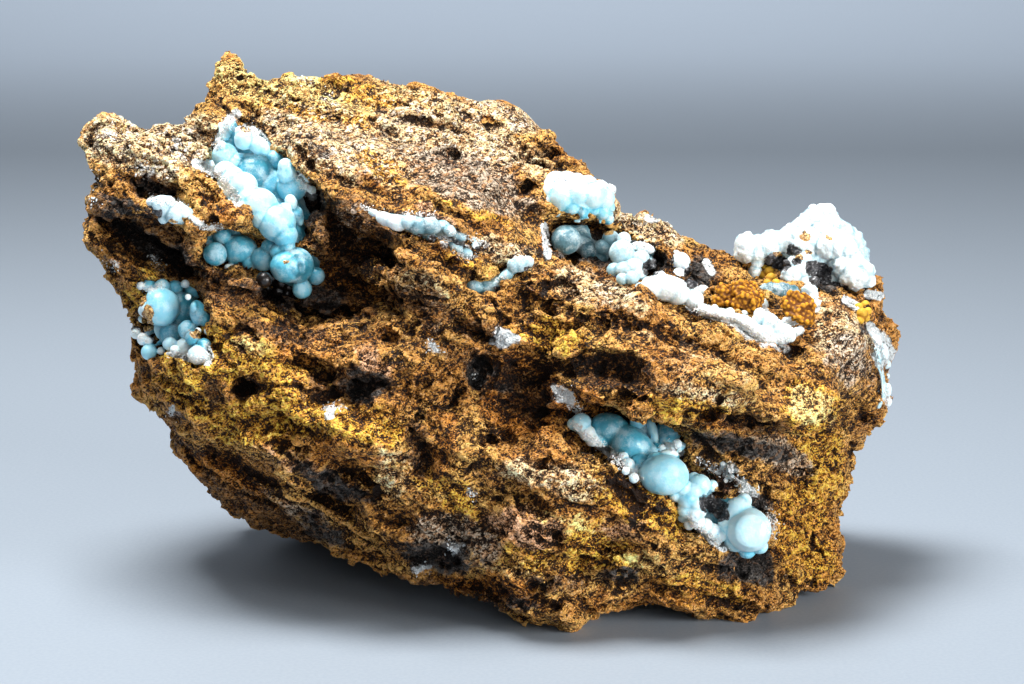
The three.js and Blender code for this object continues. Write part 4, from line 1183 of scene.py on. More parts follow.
PITS = spots(
    (311, 208, 13, 15, 40, 3), (345, 280, 50, 18, 30, 3.5), (381, 241, 14, 10, 0, 3),
    (376, 116, 7, 4, 10, 1.8), (388, 132, 12, 5, 15, 1.8), (452, 154, 12, 5, 10, 2.2),
    (490, 126, 12, 5, 10, 2.2), (526, 186, 12, 6, -20, 3), (545, 154, 26, 6, 8, 3),
    (248, 388, 16, 15, 30, 4.5), (313, 369, 28, 11, 15, 4), (326, 396, 16, 10, 0, 3),
    (364, 386, 22, 13, 0, 2.2), (277, 442, 12, 7, 0, 2.8), (160, 367, 13, 6, 0, 2.4),
    (220, 458, 62, 12, 24, 3), (479, 374, 12, 21, 0, 5), (520, 392, 46, 38, 30, 4.5),
    (498, 437, 17, 9, 0, 3), (417, 424, 7, 20, 12, 3), (424, 456, 9, 19, -10, 4), (408, 480, 8, 8, 0, 2),
    (604, 370, 50, 22, 10, 5), (590, 454, 13, 11, 0, 3), (561, 366, 11, 6, 0, 2.5), (460, 485, 11, 6, 0, 2),
    (437, 557, 30, 10, 8, 3.5), (484, 588, 46, 10, 10, 3.5), (559, 536, 15, 7, 0, 2.4),
    (616, 551, 18, 7, 0, 2.8), (626, 580, 12, 7, 0, 2.4), (540, 596, 60, 13, 12, 2.6),
    (730, 418, 48, 9, 8, 3.5), (852, 421, 22, 8, -8, 3.5), (752, 563, 24, 9, 10, 3),
    (808, 588, 14, 8, 0, 2.2), (455, 270, 44, 8, 18, 2.6), (405, 300, 30, 9, 15, 3),
    (540, 302, 34, 9, 10, 3.2), (640, 330, 44, 8, 12, 2.4), (232, 332, 30, 10, 15, 2.6),
    (690, 562, 34, 8, 5, 2), (130, 330, 10, 9, 0, 1.6), (352, 470, 30, 8, 30, 2.2),
    (330, 500, 34, 10, 22, 2.6), (560, 470, 28, 7, 18, 2), (655, 515, 24, 8, 30, 2),
    (790, 352, 26, 6, 10, 1.8), (470, 332, 34, 10, 10, 2.8), (590, 322, 26, 8, 5, 2.2),
    (700, 350, 30, 7, 14, 1.8), (300, 430, 30, 9, 20, 2.2), (190, 400, 16, 12, 0, 2),
    (395, 520, 30, 9, 18, 2.2), (520, 500, 36, 8, 14, 2), (640, 400, 24, 8, 10, 1.6),
    (455, 400, 10, 22, 10, 2.4), (370, 330, 30, 9, 14, 2.6), (286, 330, 26, 10, 12, 2.6),
    (800, 480, 10, 24, 8, 1.6), (330, 172, 34, 5, 26, 1.2), (420, 120, 40, 5, 22, 1.2),
    (455, 215, 46, 4, 24, 1.2), (275, 115, 20, 6, 30, 1.6), (170, 150, 24, 7, 15, 1.8),
    (120, 160, 14, 8, 10, 1.6), (690, 235, 24, 6, 20, 1.6), (850, 370, 24, 8, 20, 1.6),
)

CALM = spots(
    (430, 175, 150, 46, 24, 0.6), (505, 112, 46, 18, 24, 0.8), (700, 380, 120, 30, 16, 0.3),
    (850, 360, 42, 36, 45, 0.75),
)

STAIN_SPOTS = {
    "bleached": spots(
        (505, 112, 48, 14, 24), (340, 140, 110, 44, 22, 0.9), (600, 290, 70, 24, 20, 0.65),
        (540, 575, 90, 24, 8, 0.45), (150, 140, 90, 36, 0, 0.95), (150, 165, 40, 14, 20, 0.9),
        (845, 338, 50, 40, 60, 0.65), (450, 130, 120, 36, 22, 0.9), (620, 215, 60, 18, 30, 0.8),
        (700, 395, 60, 12, 12, 0.6), (700, 365, 110, 28, 14, 0.4), (420, 290, 60, 26, 20, 0.5),
        (560, 480, 100, 22, 10, 0.6), (400, 470, 40, 35, 40, 0.5), (510, 255, 40, 16, 20, 0.8),
        (650, 225, 50, 16, 25, 0.8), (350, 222, 22, 34, -30, 0.6), (440, 120, 110, 26, 18, 0.5),
    ),
    "mustard": spots(
        (240, 390, 100, 66, 20, 0.95), (215, 352, 70, 34, 0, 0.9), (330, 92, 90, 22, 8, 0.9),
        (345, 112, 40, 18, 20, 0.9), (310, 420, 70, 30, 20, 0.8), (800, 520, 40, 50, 0, 0.7),
        (430, 480, 50, 20, 20, 0.6), (540, 560, 80, 26, 10, 0.6), (470, 262, 60, 12, 14, 0.5),
        (460, 512, 22, 34, 0, 0.9), (812, 410, 36, 34, 30), (598, 545, 50, 30, 15, 0.9),
        (243, 76, 36, 22, 30, 0.9), (385, 168, 40, 14, 26, 0.9), (470, 208, 56, 8, 24, 0.9),
        (146, 292, 22, 34, 0, 0.8), (372, 425, 50, 26, 20, 0.7), (818, 460, 34, 60, 0, 0.95),
        (640, 505, 70, 26, 28, 0.9), (810, 560, 34, 30, 0, 0.8), (300, 100, 70, 22, 10, 0.9),
        (260, 330, 60, 26, 0, 0.7), (545, 335, 60, 20, 10, 0.7), (640, 470, 36, 18, 35, 0.6),
        (690, 410, 80, 18, 10, 0.7), (700, 590, 70, 24, 5, 0.6),
    ),
    "straw": spots(
        (240, 78, 36, 24, 30, 0.9), (300, 92, 70, 20, 6, 0.8), (345, 108, 50, 16, 15, 0.6),
        (812, 408, 30, 24, 30, 0.8), (420, 100, 60, 14, 15, 0.5), (250, 345, 40, 14, 10, 0.5),
        (560, 520, 60, 14, 14, 0.5), (130, 125, 40, 14, 0, 0.4), (640, 560, 50, 14, 15, 0.5),
    ),
    "rust": spots(
        (800, 530, 72, 100, 10, 0.35), (640, 600, 120, 34, 0, 0.5), (223, 480, 60, 26, 35, 0.95),
        (330, 452, 70, 22, 10, 0.6), (525, 398, 62, 48, 30, 0.9), (495, 590, 60, 18, 8, 0.85),
        (548, 243, 10, 18, 0), (300, 345, 70, 26, 10, 0.5), (610, 372, 60, 20, 8, 0.7),
        (218, 210, 36, 18, 25, 0.6), (372, 182, 26, 10, 30, 0.8), (668, 263, 9, 8, 0),
        (590, 400, 22, 22, 0, 0.7), (735, 425, 60, 14, 8, 0.7), (440, 440, 26, 46, 0, 0.6),
        (345, 280, 60, 40, 30, 0.6),
    ),
    "rosy": spots(
        (522, 528, 52, 26, 15, 0.8), (440, 220, 36, 8, 24, 0.9), (372, 362, 18, 36, -25, 0.7),
        (290, 462, 50, 14, 20, 0.5), (620, 530, 36, 18, 10, 0.5), (720, 480, 30, 14, 20, 0.7),
    ),
    "slate": spots(
        (470, 180, 86, 34, 22, 0.85), (455, 540, 60, 28, 8, 0.8), (365, 215, 46, 8, 20, 0.5),
        (780, 455, 50, 18, 25, 0.7), (610, 190, 16, 10, 0, 0.8), (345, 165, 50, 10, 24, 0.4),
        (300, 520, 60, 24, 30, 0.6), (440, 320, 30, 14, 10, 0.5), (850, 360, 38, 34, 45, 0.6),
    ),
    # painted shade: dark brown spots on the recesses where shadow falls
    "painted_recess_shade": spots(
        (150, 186, 34, 14, 10), (140, 230, 70, 24, 24), (225, 288, 60, 18, 15, 0.9), (352, 236, 58, 46, 45),
        (420, 305, 60, 20, 15, 0.8), (330, 300, 62, 24, 10, 0.9), (610, 372, 54, 20, 8, 0.95),
        (350, 384, 54, 22, 5, 0.8), (246, 388, 22, 16, 0, 0.9), (420, 446, 18, 40, 0, 0.8),
        (520, 392, 46, 32, 30, 0.7), (480, 375, 20, 26, 0, 0.9), (250, 508, 90, 20, 28, 0.8),
        (440, 594, 90, 16, 10, 0.8), (480, 330, 50, 14, 12, 0.7), (575, 240, 34, 22, 0, 0.9),
        (170, 420, 22, 30, 50, 0.6), (745, 425, 50, 12, 10, 0.7), (300, 215, 20, 40, 20, 0.9),
        (275, 330, 66, 18, 10, 0.75), (225, 395, 40, 16, 20, 0.6), (330, 395, 40, 12, 10, 0.7),
        (460, 350, 60, 14, 10, 0.6), (560, 585, 60, 14, 5, 0.6), (700, 275, 30, 16, 10, 0.7),
        (180, 262, 56, 14, 26, 0.8), (130, 218, 46, 16, 20, 0.8),
    ),
    # dark manganese patches; the spots in the saddle cave, under the head ledge and beside and below the
    # upper pocket are painted shade
    "manganese_and_shade": spots(
        (362, 386, 28, 19, 0), (438, 556, 50, 20, 8), (428, 600, 50, 12, 14, 0.8),
        (742, 446, 66, 12, 12, 0.9), (714, 506, 22, 13, 10), (757, 500, 16, 12, 30), (775, 259, 24, 10, 5),
        (824, 279, 22, 12, 20), (698, 273, 20, 20, 0), (656, 262, 17, 13, 0), (748, 567, 38, 18, 0),
        (479, 374, 13, 22, 0, 0.9), (335, 484, 56, 14, 25, 0.9), (318, 150, 20, 5, 20, 0.6),
        (620, 575, 26, 10, 0, 0.8), (300, 298, 60, 16, 8, 0.9), (870, 330, 16, 8, 40, 0.8),
        (505, 385, 14, 10, 0, 0.8), (150, 242, 66, 14, 30, 0.9), (150, 188, 28, 10, 12),
        (311, 210, 14, 20, 30, 0.9), (600, 250, 50, 20, 10, 1), (320, 530, 40, 14, 30, 0.7),
        (515, 600, 40, 10, 10, 0.5), (126, 206, 36, 8, 20, 0.9), (120, 232, 40, 10, 30, 0.6),
    ),
    "druse": spots(
        (503, 337, 13, 10, 0, 0.9), (565, 397, 12, 10, 20, 0.8), (432, 347, 10, 7, 20, 0.6),
        (421, 569, 10, 6, -10, 0.9), (333, 412, 10, 5, -20, 0.8), (172, 410, 8, 6, 0, 0.7),
        (748, 488, 14, 9, 20, 0.8), (726, 470, 18, 7, 10, 0.6), (760, 330, 40, 14, 25, 0.9),
        (885, 350, 10, 22, -20, 0.9), (452, 548, 10, 7, 0, 0.6), (455, 245, 30, 8, 22, 0.5),
    ),
}


@dataclass
class Stone:
    """The block of gossan, carved finely from the plain block of the frame.

    Attributes:
        node: The node that it stands for.
        first_voxel: Grid of the first carving.
        last_voxel: Grid of the second carving.
        faces: How many triangles are kept.
        proud: How far the stone may stand past the plain block's box.
        cuts: How far behind the drawing's middle the show face is cut off, and how far across it is halved.
        reach: How far from the drawing's middle the cutting boxes reach.
        cells: How many cuts divide each side of a cutting box, so that the cut faces stay small.
        close: How near to a cut a point lies on it.
        dark: Depth from which a pit takes the full painted shade, in millimetres.
        coarse: Lumps of the first carving: size, height, stretch along the beds.
        fine: Lumps of the second carving, the same.
        chips: Broken faces of the second carving, the same.
        cracks: Cracks along the beds: how far apart, stretch along the beds and width.
        nudges: Places of the outline that are moved, and how far across and up, in millimetres.
        knobs: Knobs added to the plain block.
        pockets: The hollows that the crusts sit in, and the deepest clefts.
        pits: Hollows pushed into the face, with their depths in millimetres.
        calm: Places that are smoother than the rest.
        stains: Coloured patches on the face, by the name of the stain.
        whole: The finished stone in one piece, once it is built.
    """

    node: str = "matrix"
    first_voxel: float = 0.7 * MM
    last_voxel: float = 0.26 * MM
    faces: int = 550000
    proud: float = 0.8 * MM
    cuts: tuple[float, float] = (-2.4 * MM, -7 * MM)
    reach: float = 60 * MM
    cells: int = 31
    close: float = 0.002 * MM
    dark: float = 3.5
    coarse: tuple[tuple[float, float, float], ...] = ((9.0, 0.8, 1.4), (4.6, 0.62, 1.5), (2.6, 0.36, 1.4))
    fine: tuple[tuple[float, float, float], ...] = ((1.5, 0.18, 1.6), (0.9, 0.12, 1.5), (0.6, 0.08, 1.3))
    chips: tuple[tuple[float, float, float], ...] = ((3.8, 0.7, 1.6), (1.8, 0.3, 1.4))
    cracks: tuple[tuple[float, float, float], ...] = ((9, 2.6, 0.07), (4.5, 2.2, 0.09))
    nudges: tuple[tuple[Spot, float, float], ...] = NUDGES
    knobs: tuple[tuple[float, float, float], ...] = KNOBS
    pockets: tuple[Pocket, ...] = POCKETS
    pits: tuple[Spot, ...] = PITS
    calm: tuple[Spot, ...] = CALM
    stains: dict[str, tuple[Spot, ...]] = field(default_factory=lambda: STAIN_SPOTS)
    whole: bpy.types.Mesh | None = field(default=None, init=False)

    def build(self, effects: Effects) -> list[bpy.types.Object]:
        """Carves the stone and dresses it.

        Args:
            effects: The shared effects.

        Returns:
            The stone's pieces.
        """
        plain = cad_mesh(self.node)
        first = remeshed(self.with_knobs(plain), self.first_voxel)
        move_points(first, calmed(first, points_of(first), 3))
        move_points(first, self.pitted(first))
        self.lift(first, self.coarse, seed=11, beds=(4.6, 0.35))
        second = remeshed(first, self.last_voxel * (1))
        self.chip(second)
        self.lift(second, self.fine, seed=31, beds=(1.5, 0.12))
        cracks = self.crack(points_of(second))
        move_points(second, points_of(second) - (0.7 * MM * cracks)[:, None] * normals_of(second))
        self.hole(second, size=4.2, depth=0.9 * MM, seed=51)
        self.hole(second, size=1.6, depth=0.25 * MM, seed=52)
        points = self.held_in(points_of(second), points_of(plain))
        move_points(second, points)
        made = self.thinned(second)
        self.mark(made)
        self.whole = made
        finish = GossanFinish().material(effects)
        names = ("gossan_show_left", "gossan_show_right", "gossan_rear")
        return [
            add_piece(name, part, Slot.GOSSAN, finish, self.node)
            for name, part in zip(names, self.cut_up(made))
        ]

    def with_knobs(self, plain: bpy.types.Mesh) -> bpy.types.Mesh:
        """Adds the knobs to the plain block.

        Args:
            plain: The plain block.

        Returns:
            One mesh that holds the block and the knobs.
        """
        sight = Sight([plain])
        shape = unit_ball(3)
        parts = [(points_of(plain), triangles_of(plain))]
        for u, v, radius in self.knobs:
            met = sight.meet(u, v)
            if met:
                size = radius * DRAWING.unit
                parts.append((shape[0] * size + np.array(met[0] + 0.7 * size * met[2]), shape[1]))
        return mesh_from("with_knobs", *put_together(parts))

    def cut_up(self, mesh: bpy.types.Mesh) -> list[bpy.types.Mesh]:
        """Cuts the stone into its show face, left and right, and its rear.

        Args:
            mesh: The whole stone.

        Returns:
            Three closed meshes.
        """
        depth, across = self.cuts
        reach = self.reach
        tree = KDTree(len(mesh.vertices))
        for n, point in enumerate(points_of(mesh)):
            tree.insert(point, n)
        tree.balance()
        parts = []
        for low, high in (
            ((-reach, -reach, -reach), (across, reach, depth)),
            ((across, -reach, -reach), (reach, reach, depth)),
            ((-reach, -reach, depth), (reach, reach, reach)),
        ):
            holder = placed("box", self.cutting_box(np.array(low), np.array(high)))
            part = after_modifier(mesh, "BOOLEAN", object=holder, operation="INTERSECT", solver="MANIFOLD")
            bpy.data.objects.remove(holder)
            places = (points_of(part) - np.array(DRAWING.middle)) @ DRAWING.axes().T
            on_cut = np.minimum(np.abs(places[:, 2] - depth), np.abs(places[:, 0] - across)) < self.close
            nearest = {int(n): tree.find(part.vertices[n].co)[1] for n in np.flatnonzero(on_cut)}
            for name in ("relief", "hollow", *self.stains):
                values, whole = part.attributes[name].data, mesh.attributes[name].data
                for n, near in nearest.items():
                    values[n].value = whole[near].value
            parts.append(part)
        return parts

    def cutting_box(self, low: np.ndarray, high: np.ndarray) -> bpy.types.Mesh:
        """Makes a box along the drawing's axes that is divided into small cells.

        Args:
            low: Its lowest corner along those axes, from the drawing's middle.
            high: Its highest corner.

        Returns:
            The box.
        """
        hull = bmesh.new()
        bmesh.ops.create_cube(hull, size=1)
        bmesh.ops.subdivide_edges(hull, edges=hull.edges, cuts=self.cells, use_grid_fill=True)
        box = bpy.data.meshes.new("box")
        hull.to_mesh(box)
        hull.free()
        steps = 2 * (self.cells + 1)
        shares = np.round(points_of(box) * steps) / steps + 0.5
        axes = DRAWING.axes()
        move_points(box, (low + shares * (high - low)) @ axes + np.array(DRAWING.middle))
        if np.linalg.det(axes) < 0:
            box.flip_normals()
        return box

    def facing(self, mesh: bpy.types.Mesh) -> np.ndarray:
        """How squarely each point of a mesh faces the eye, from -1 to 1.

        Args:
            mesh: The mesh to look at.

        Returns:
            One value for each point.
        """
        towards = np.array(DRAWING.eye_place()) - points_of(mesh)
        towards /= np.linalg.norm(towards, axis=1, keepdims=True)
        return (towards * normals_of(mesh)).sum(axis=1)

    def pitted(self, mesh: bpy.types.Mesh) -> np.ndarray:
        """Pushes the pockets and pits into the face of a mesh and gives the new places of its points.

        Args:
            mesh: The mesh whose points are asked for.

        Returns:
            The new places, one in each row.
        """
        points = points_of(mesh)
        away = points - np.array(DRAWING.eye_place())
        away /= np.linalg.norm(away, axis=1, keepdims=True)
        places = DRAWING.locate(points)
        facing = self.facing(mesh)
        bend = self.bend(places)
        front = smooth_step(facing, 0.0, 0.25)
        depth = np.zeros(len(points))
        for pit in self.pits:
            inside = smooth_step(pit.reach(places[:, :2] + bend), 1.2, 0.35)
            depth = np.maximum(depth, pit.amount * MM * inside)
        move = front * depth
        ripple = 0.8 * noise(points / (2.5 * MM), 3)
        for pocket in self.pockets:
            inset = pocket.inset(places[:, :2] + 0.35 * bend)
            push = np.maximum((pocket.floor + ripple) * MM - places[:, 2], 0)
            move = np.maximum(move, push * smooth_step(inset, 0, pocket.wall))
        points = points + move[:, None] * away
        across, up, _ = DRAWING.axes()
        for spot, right, rise in self.nudges:
            share = smooth_step(spot.reach(places[:, :2]), 1.3, 0.4)
            points += MM * share[:, None] * (right * across + rise * up)
        return points

    def crack(self, points: np.ndarray) -> np.ndarray:
        """How deep places lie in the thin cracks along the beds, from 0 to 1.

        Args:
            points: The places, one in each row.

        Returns:
            One depth for each place.
        """
        bent = points + 0.7 * MM * noises(points / (2 * MM), 90)
        share = np.zeros(len(points))
        for n, (size, stretch, width) in enumerate(self.cracks):
            line = np.abs(noise(self.bedded(bent, size * MM, stretch), 95 + n))
            some = smooth_step(noise(points / (6 * MM), 97 + n), -0.1, 0.4)
            share = np.maximum(share, some * smooth_step(line, width, 0.2 * width))
        return share * self.roughness(points)

    def bend(self, places: np.ndarray) -> np.ndarray:
        """How far places on the drawing are shifted to make outlines ragged."""
        flat = places * np.array([1, 1, 0])
        return 6 * noises(flat / 22, 1, 2) + 3.5 * noises(flat / 9, 3, 2)

    def bedded(self, points: np.ndarray, size: float, stretch: float) -> np.ndarray:
        """Places on a grid of the given size that is drawn out along the beds.

        Args:
            points: The places, one in each row.
            size: Width of a cell of the grid through the beds.
            stretch: How much longer a cell is along the beds.

        Returns:
            The places in cells, one in each row.
        """
        x, y, z = points.T / size
        along = x * math.cos(BED_TILT) - z * math.sin(BED_TILT)
        through = z * math.cos(BED_TILT) + x * math.sin(BED_TILT)
        return np.stack([along / stretch, y / stretch, through], axis=1)

    def chip(self, mesh: bpy.types.Mesh) -> None:
        """Breaks a mesh's surface into flat faces that stand at different heights and angles.

        Args:
            mesh: The mesh to change.
        """
        points = points_of(mesh)
        share = self.roughness(points)
        height = np.zeros(len(points))
        for n, (size, rise, stretch) in enumerate(self.chips):
            places = self.bedded(points, size * MM, stretch)
            out, mark = nearest_cell(places + 0.25 * noises(2.5 * places, 60), 65 + n)
            tilts = shares_of(mark, (2, 12, 22)) - 0.5
            level = shares_of(mark, (7,))[:, 0] - 0.5
            height += rise * (level + 1.6 * (tilts * out).sum(axis=1))
        move_points(mesh, points + (share * height)[:, None] * MM * normals_of(mesh))

    def roughness(self, points: np.ndarray) -> np.ndarray:
        """How rough the stone is at the given places, from 0 to 1.

        Args:
            points: The places, one in each row.

        Returns:
            One share for each place.
        """
        places = DRAWING.spots(points)
        share = np.ones(len(points))
        for spot in self.calm:
            share = np.minimum(share, 1 - spot.amount * smooth_step(spot.reach(places), 1.2, 0.8))
        return share

    def lift(self, mesh: bpy.types.Mesh, lumps: tuple, seed: int, beds: tuple[float, float]) -> None:
        """Raises and sinks a mesh by lumps and by the broken edges of its beds.

        Args:
            mesh: The mesh to change.
            lumps: Size, height and stretch of each layer of lumps, in millimetres.
            seed: Which noise to use.
            beds: Thickness of a bed and how far its edge stands out, in millimetres.
        """
        points = points_of(mesh)
        height = np.zeros(len(points))
        for n, (size, rise, stretch) in enumerate(lumps):
            places = self.bedded(points, size * MM, stretch)
            height += rise * (0.6 * creased(places, seed + n) - 0.4 * creased(places, seed + n + 40))
        uneven = smooth_step(noise(points / (7 * MM), seed + 8), -0.5, 0.5)
        height *= self.roughness(points) * (0.55 + 0.9 * uneven)
        thickness, step = beds
        waver = 0.8 * noise(points / (6 * MM), seed + 7)
        bed = self.bedded(points, thickness * MM, 1)[:, 2] + 0.3 * points[:, 1] / (thickness * MM) + waver
        part = bed - np.floor(bed)
        lip = np.where(part < 0.8, part / 0.8, (1 - part) / 0.2)
        strength = smooth_step(noise(points / (5 * MM), seed + 9), -0.5, 0.6)
        height += step * strength * (2 * lip - 1)
        move_points(mesh, points + height[:, None] * MM * normals_of(mesh))

    def hole(self, mesh: bpy.types.Mesh, size: float, depth: float, seed: int) -> None:
        """Sinks small scattered holes into a mesh.

        Args:
            mesh: The mesh to change.
            size: About how far apart they are, in millimetres.
            depth: How deep they are.
            seed: Which scatter to use.
        """
        points = points_of(mesh)
        bent = points + 0.25 * size * MM * noises(points / (0.4 * size * MM), seed)
        round_holes = smooth_step(cell_distance(self.bedded(bent, size * MM, 1.8), seed), 0.42, 0.15)
        some = smooth_step(noise(points / (5 * MM), seed + 5), 0.0, 0.5)
        move_points(mesh, points - (depth * some * round_holes)[:, None] * normals_of(mesh))

    def held_in(self, points: np.ndarray, plain: np.ndarray) -> np.ndarray:
        """Keeps points above the ground and within the plain block's box.

        Args:
            points: The places to hold in.
            plain: The points of the plain block.

        Returns:
            The new places.
        """
        low, high = plain.min(axis=0) - self.proud, plain.max(axis=0) + self.proud
        low[2] = 0
        return np.clip(points, low, high)

    def thinned(self, mesh: bpy.types.Mesh) -> bpy.types.Mesh:
        """Thins a mesh, the sides that the eye doesn't see more than the show face.

        Args:
            mesh: The mesh to thin.

        Returns:
            The thinned mesh.
        """
        triangles = 2 * len(mesh.polygons)
        kept = self.faces // 1
        weights = smooth_step(self.facing(mesh), 0.15, -0.3)
        settings = {"ratio": min(1, kept / triangles), "vertex_group": "weights", "vertex_group_factor": 1.0}
        return after_modifier(mesh, "DECIMATE", weights, **settings)

    def mark(self, mesh: bpy.types.Mesh) -> None:
        """Stores what the finish needs: how far each point stands out, the painted shade of the pits, pockets
        and cracks, and the stains.

        Args:
            mesh: The mesh to store it on.
        """
        points = points_of(mesh)
        # relief drives painted shade in creases and painted light on what stands out
        stand = ((points - calmed(mesh, points, 20)) * normals_of(mesh)).sum(axis=1)
        store(mesh, "relief", np.clip(stand / (0.4 * MM), -1, 1))
        places = DRAWING.locate(points)
        bend = self.bend(places)
        places = places[:, :2]
        facing = self.facing(mesh)
        front = smooth_step(facing, -0.45, -0.1)
        # hollow is painted shade: the finish darkens the pits, pockets and cracks by it
        hollow = np.zeros(len(points))
        for pit in self.pits:
            deep = min(1, pit.amount / self.dark)
            hollow = np.maximum(hollow, deep * smooth_step(pit.reach(places + bend), 1.15, 0.5))
        for pocket in self.pockets:
            hollow = np.maximum(hollow, smooth_step(pocket.inset(places + 0.35 * bend), 1, 6))
        store(mesh, "hollow", np.maximum(front * hollow, 1.3 * self.crack(points)))
        for n, (name, rows) in enumerate(self.stains.items()):
            by_hand = np.zeros(len(points))
            for spot in rows:
                inside = smooth_step(spot.reach(places + 1.4 * bend), 1.35, 0.3)
                by_hand = np.maximum(by_hand, spot.amount * inside)
            if name == "druse":
                by_hand = np.maximum(by_hand, frosted(places, 1.6))
            share = RARE_STAINS.get(name, COMMON_STAIN)
            patches = smooth_step(noise(points / (9 * MM), 80 + n), 0.75 - share, 1.15 - share)
            seen = smooth_step(facing, -0.05, 0.2) if name == "druse" else front
            store(mesh, name, seen * by_hand + (1 - front) * patches)


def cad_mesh(node: str) -> bpy.types.Mesh:
    """A copy of the mesh of one of the frame's nodes, with its doubled points joined.

    Args:
        node: The node's name.

    Returns:
        The copy.
    """
    made = bmesh.new()
    made.from_mesh(frame["nodes"][node].data)
    bmesh.ops.remove_doubles(made, verts=made.verts, dist=1e-6)
    mesh = bpy.data.meshes.new(node + "_copy")
    made.to_mesh(mesh)
    made.free()
    return mesh


# ---- Crusts ----


class Look(Enum):
    """The looks of a crust."""

    OWN = "the look of its slot"
    CYAN = "bluer than its slot"


@dataclass(frozen=True)
class Ball:
    """One ball of a crust, in units of the drawing.

    Attributes:
        u: Middle, across.
        v: Middle, down.
        radius: Its radius.
        tone: 0 where it is white and 1 where it is deep blue.
        sunk: How far its middle lies behind the surface that the eye meets, in radii.
        shape: Its width as a share of its length.
        tilt: How far its length dips to the right, in degrees.
        depth: How far its middle lies behind the drawing plane in millimetres, where that is given.
    """

    u: float
    v: float
    radius: float
    tone: float = 0.4
    sunk: float = 0.55
    shape: float = 1
    tilt: float = 0
    depth: float | None = None

    def frame(self, reach: float) -> np.ndarray:
        """Its three half axes, one in each column.

        Args:
            reach: How much farther off it is than the drawing plane.

        Returns:
            A 3 by 3 matrix.
        """
        across, up, away = DRAWING.axes()
        angle = math.radians(self.tilt)
        along = across * math.cos(angle) - up * math.sin(angle)
        beside = across * math.sin(angle) + up * math.cos(angle)
        radius = self.radius * DRAWING.unit * reach
        return np.stack([along, beside * self.shape, away * self.shape**0.5], axis=1) * radius


@dataclass(frozen=True)
class Ring:
    """Ripples round a place of a crust, where a ball is broken and shows how it grew.

    Attributes:
        u: Middle, across.
        v: Middle, down.
        radius: How far they reach.
        count: How many there are.
        depth: How deep they are, in millimetres.
    """

    u: float
    v: float
    radius: float
    count: float
    depth: float


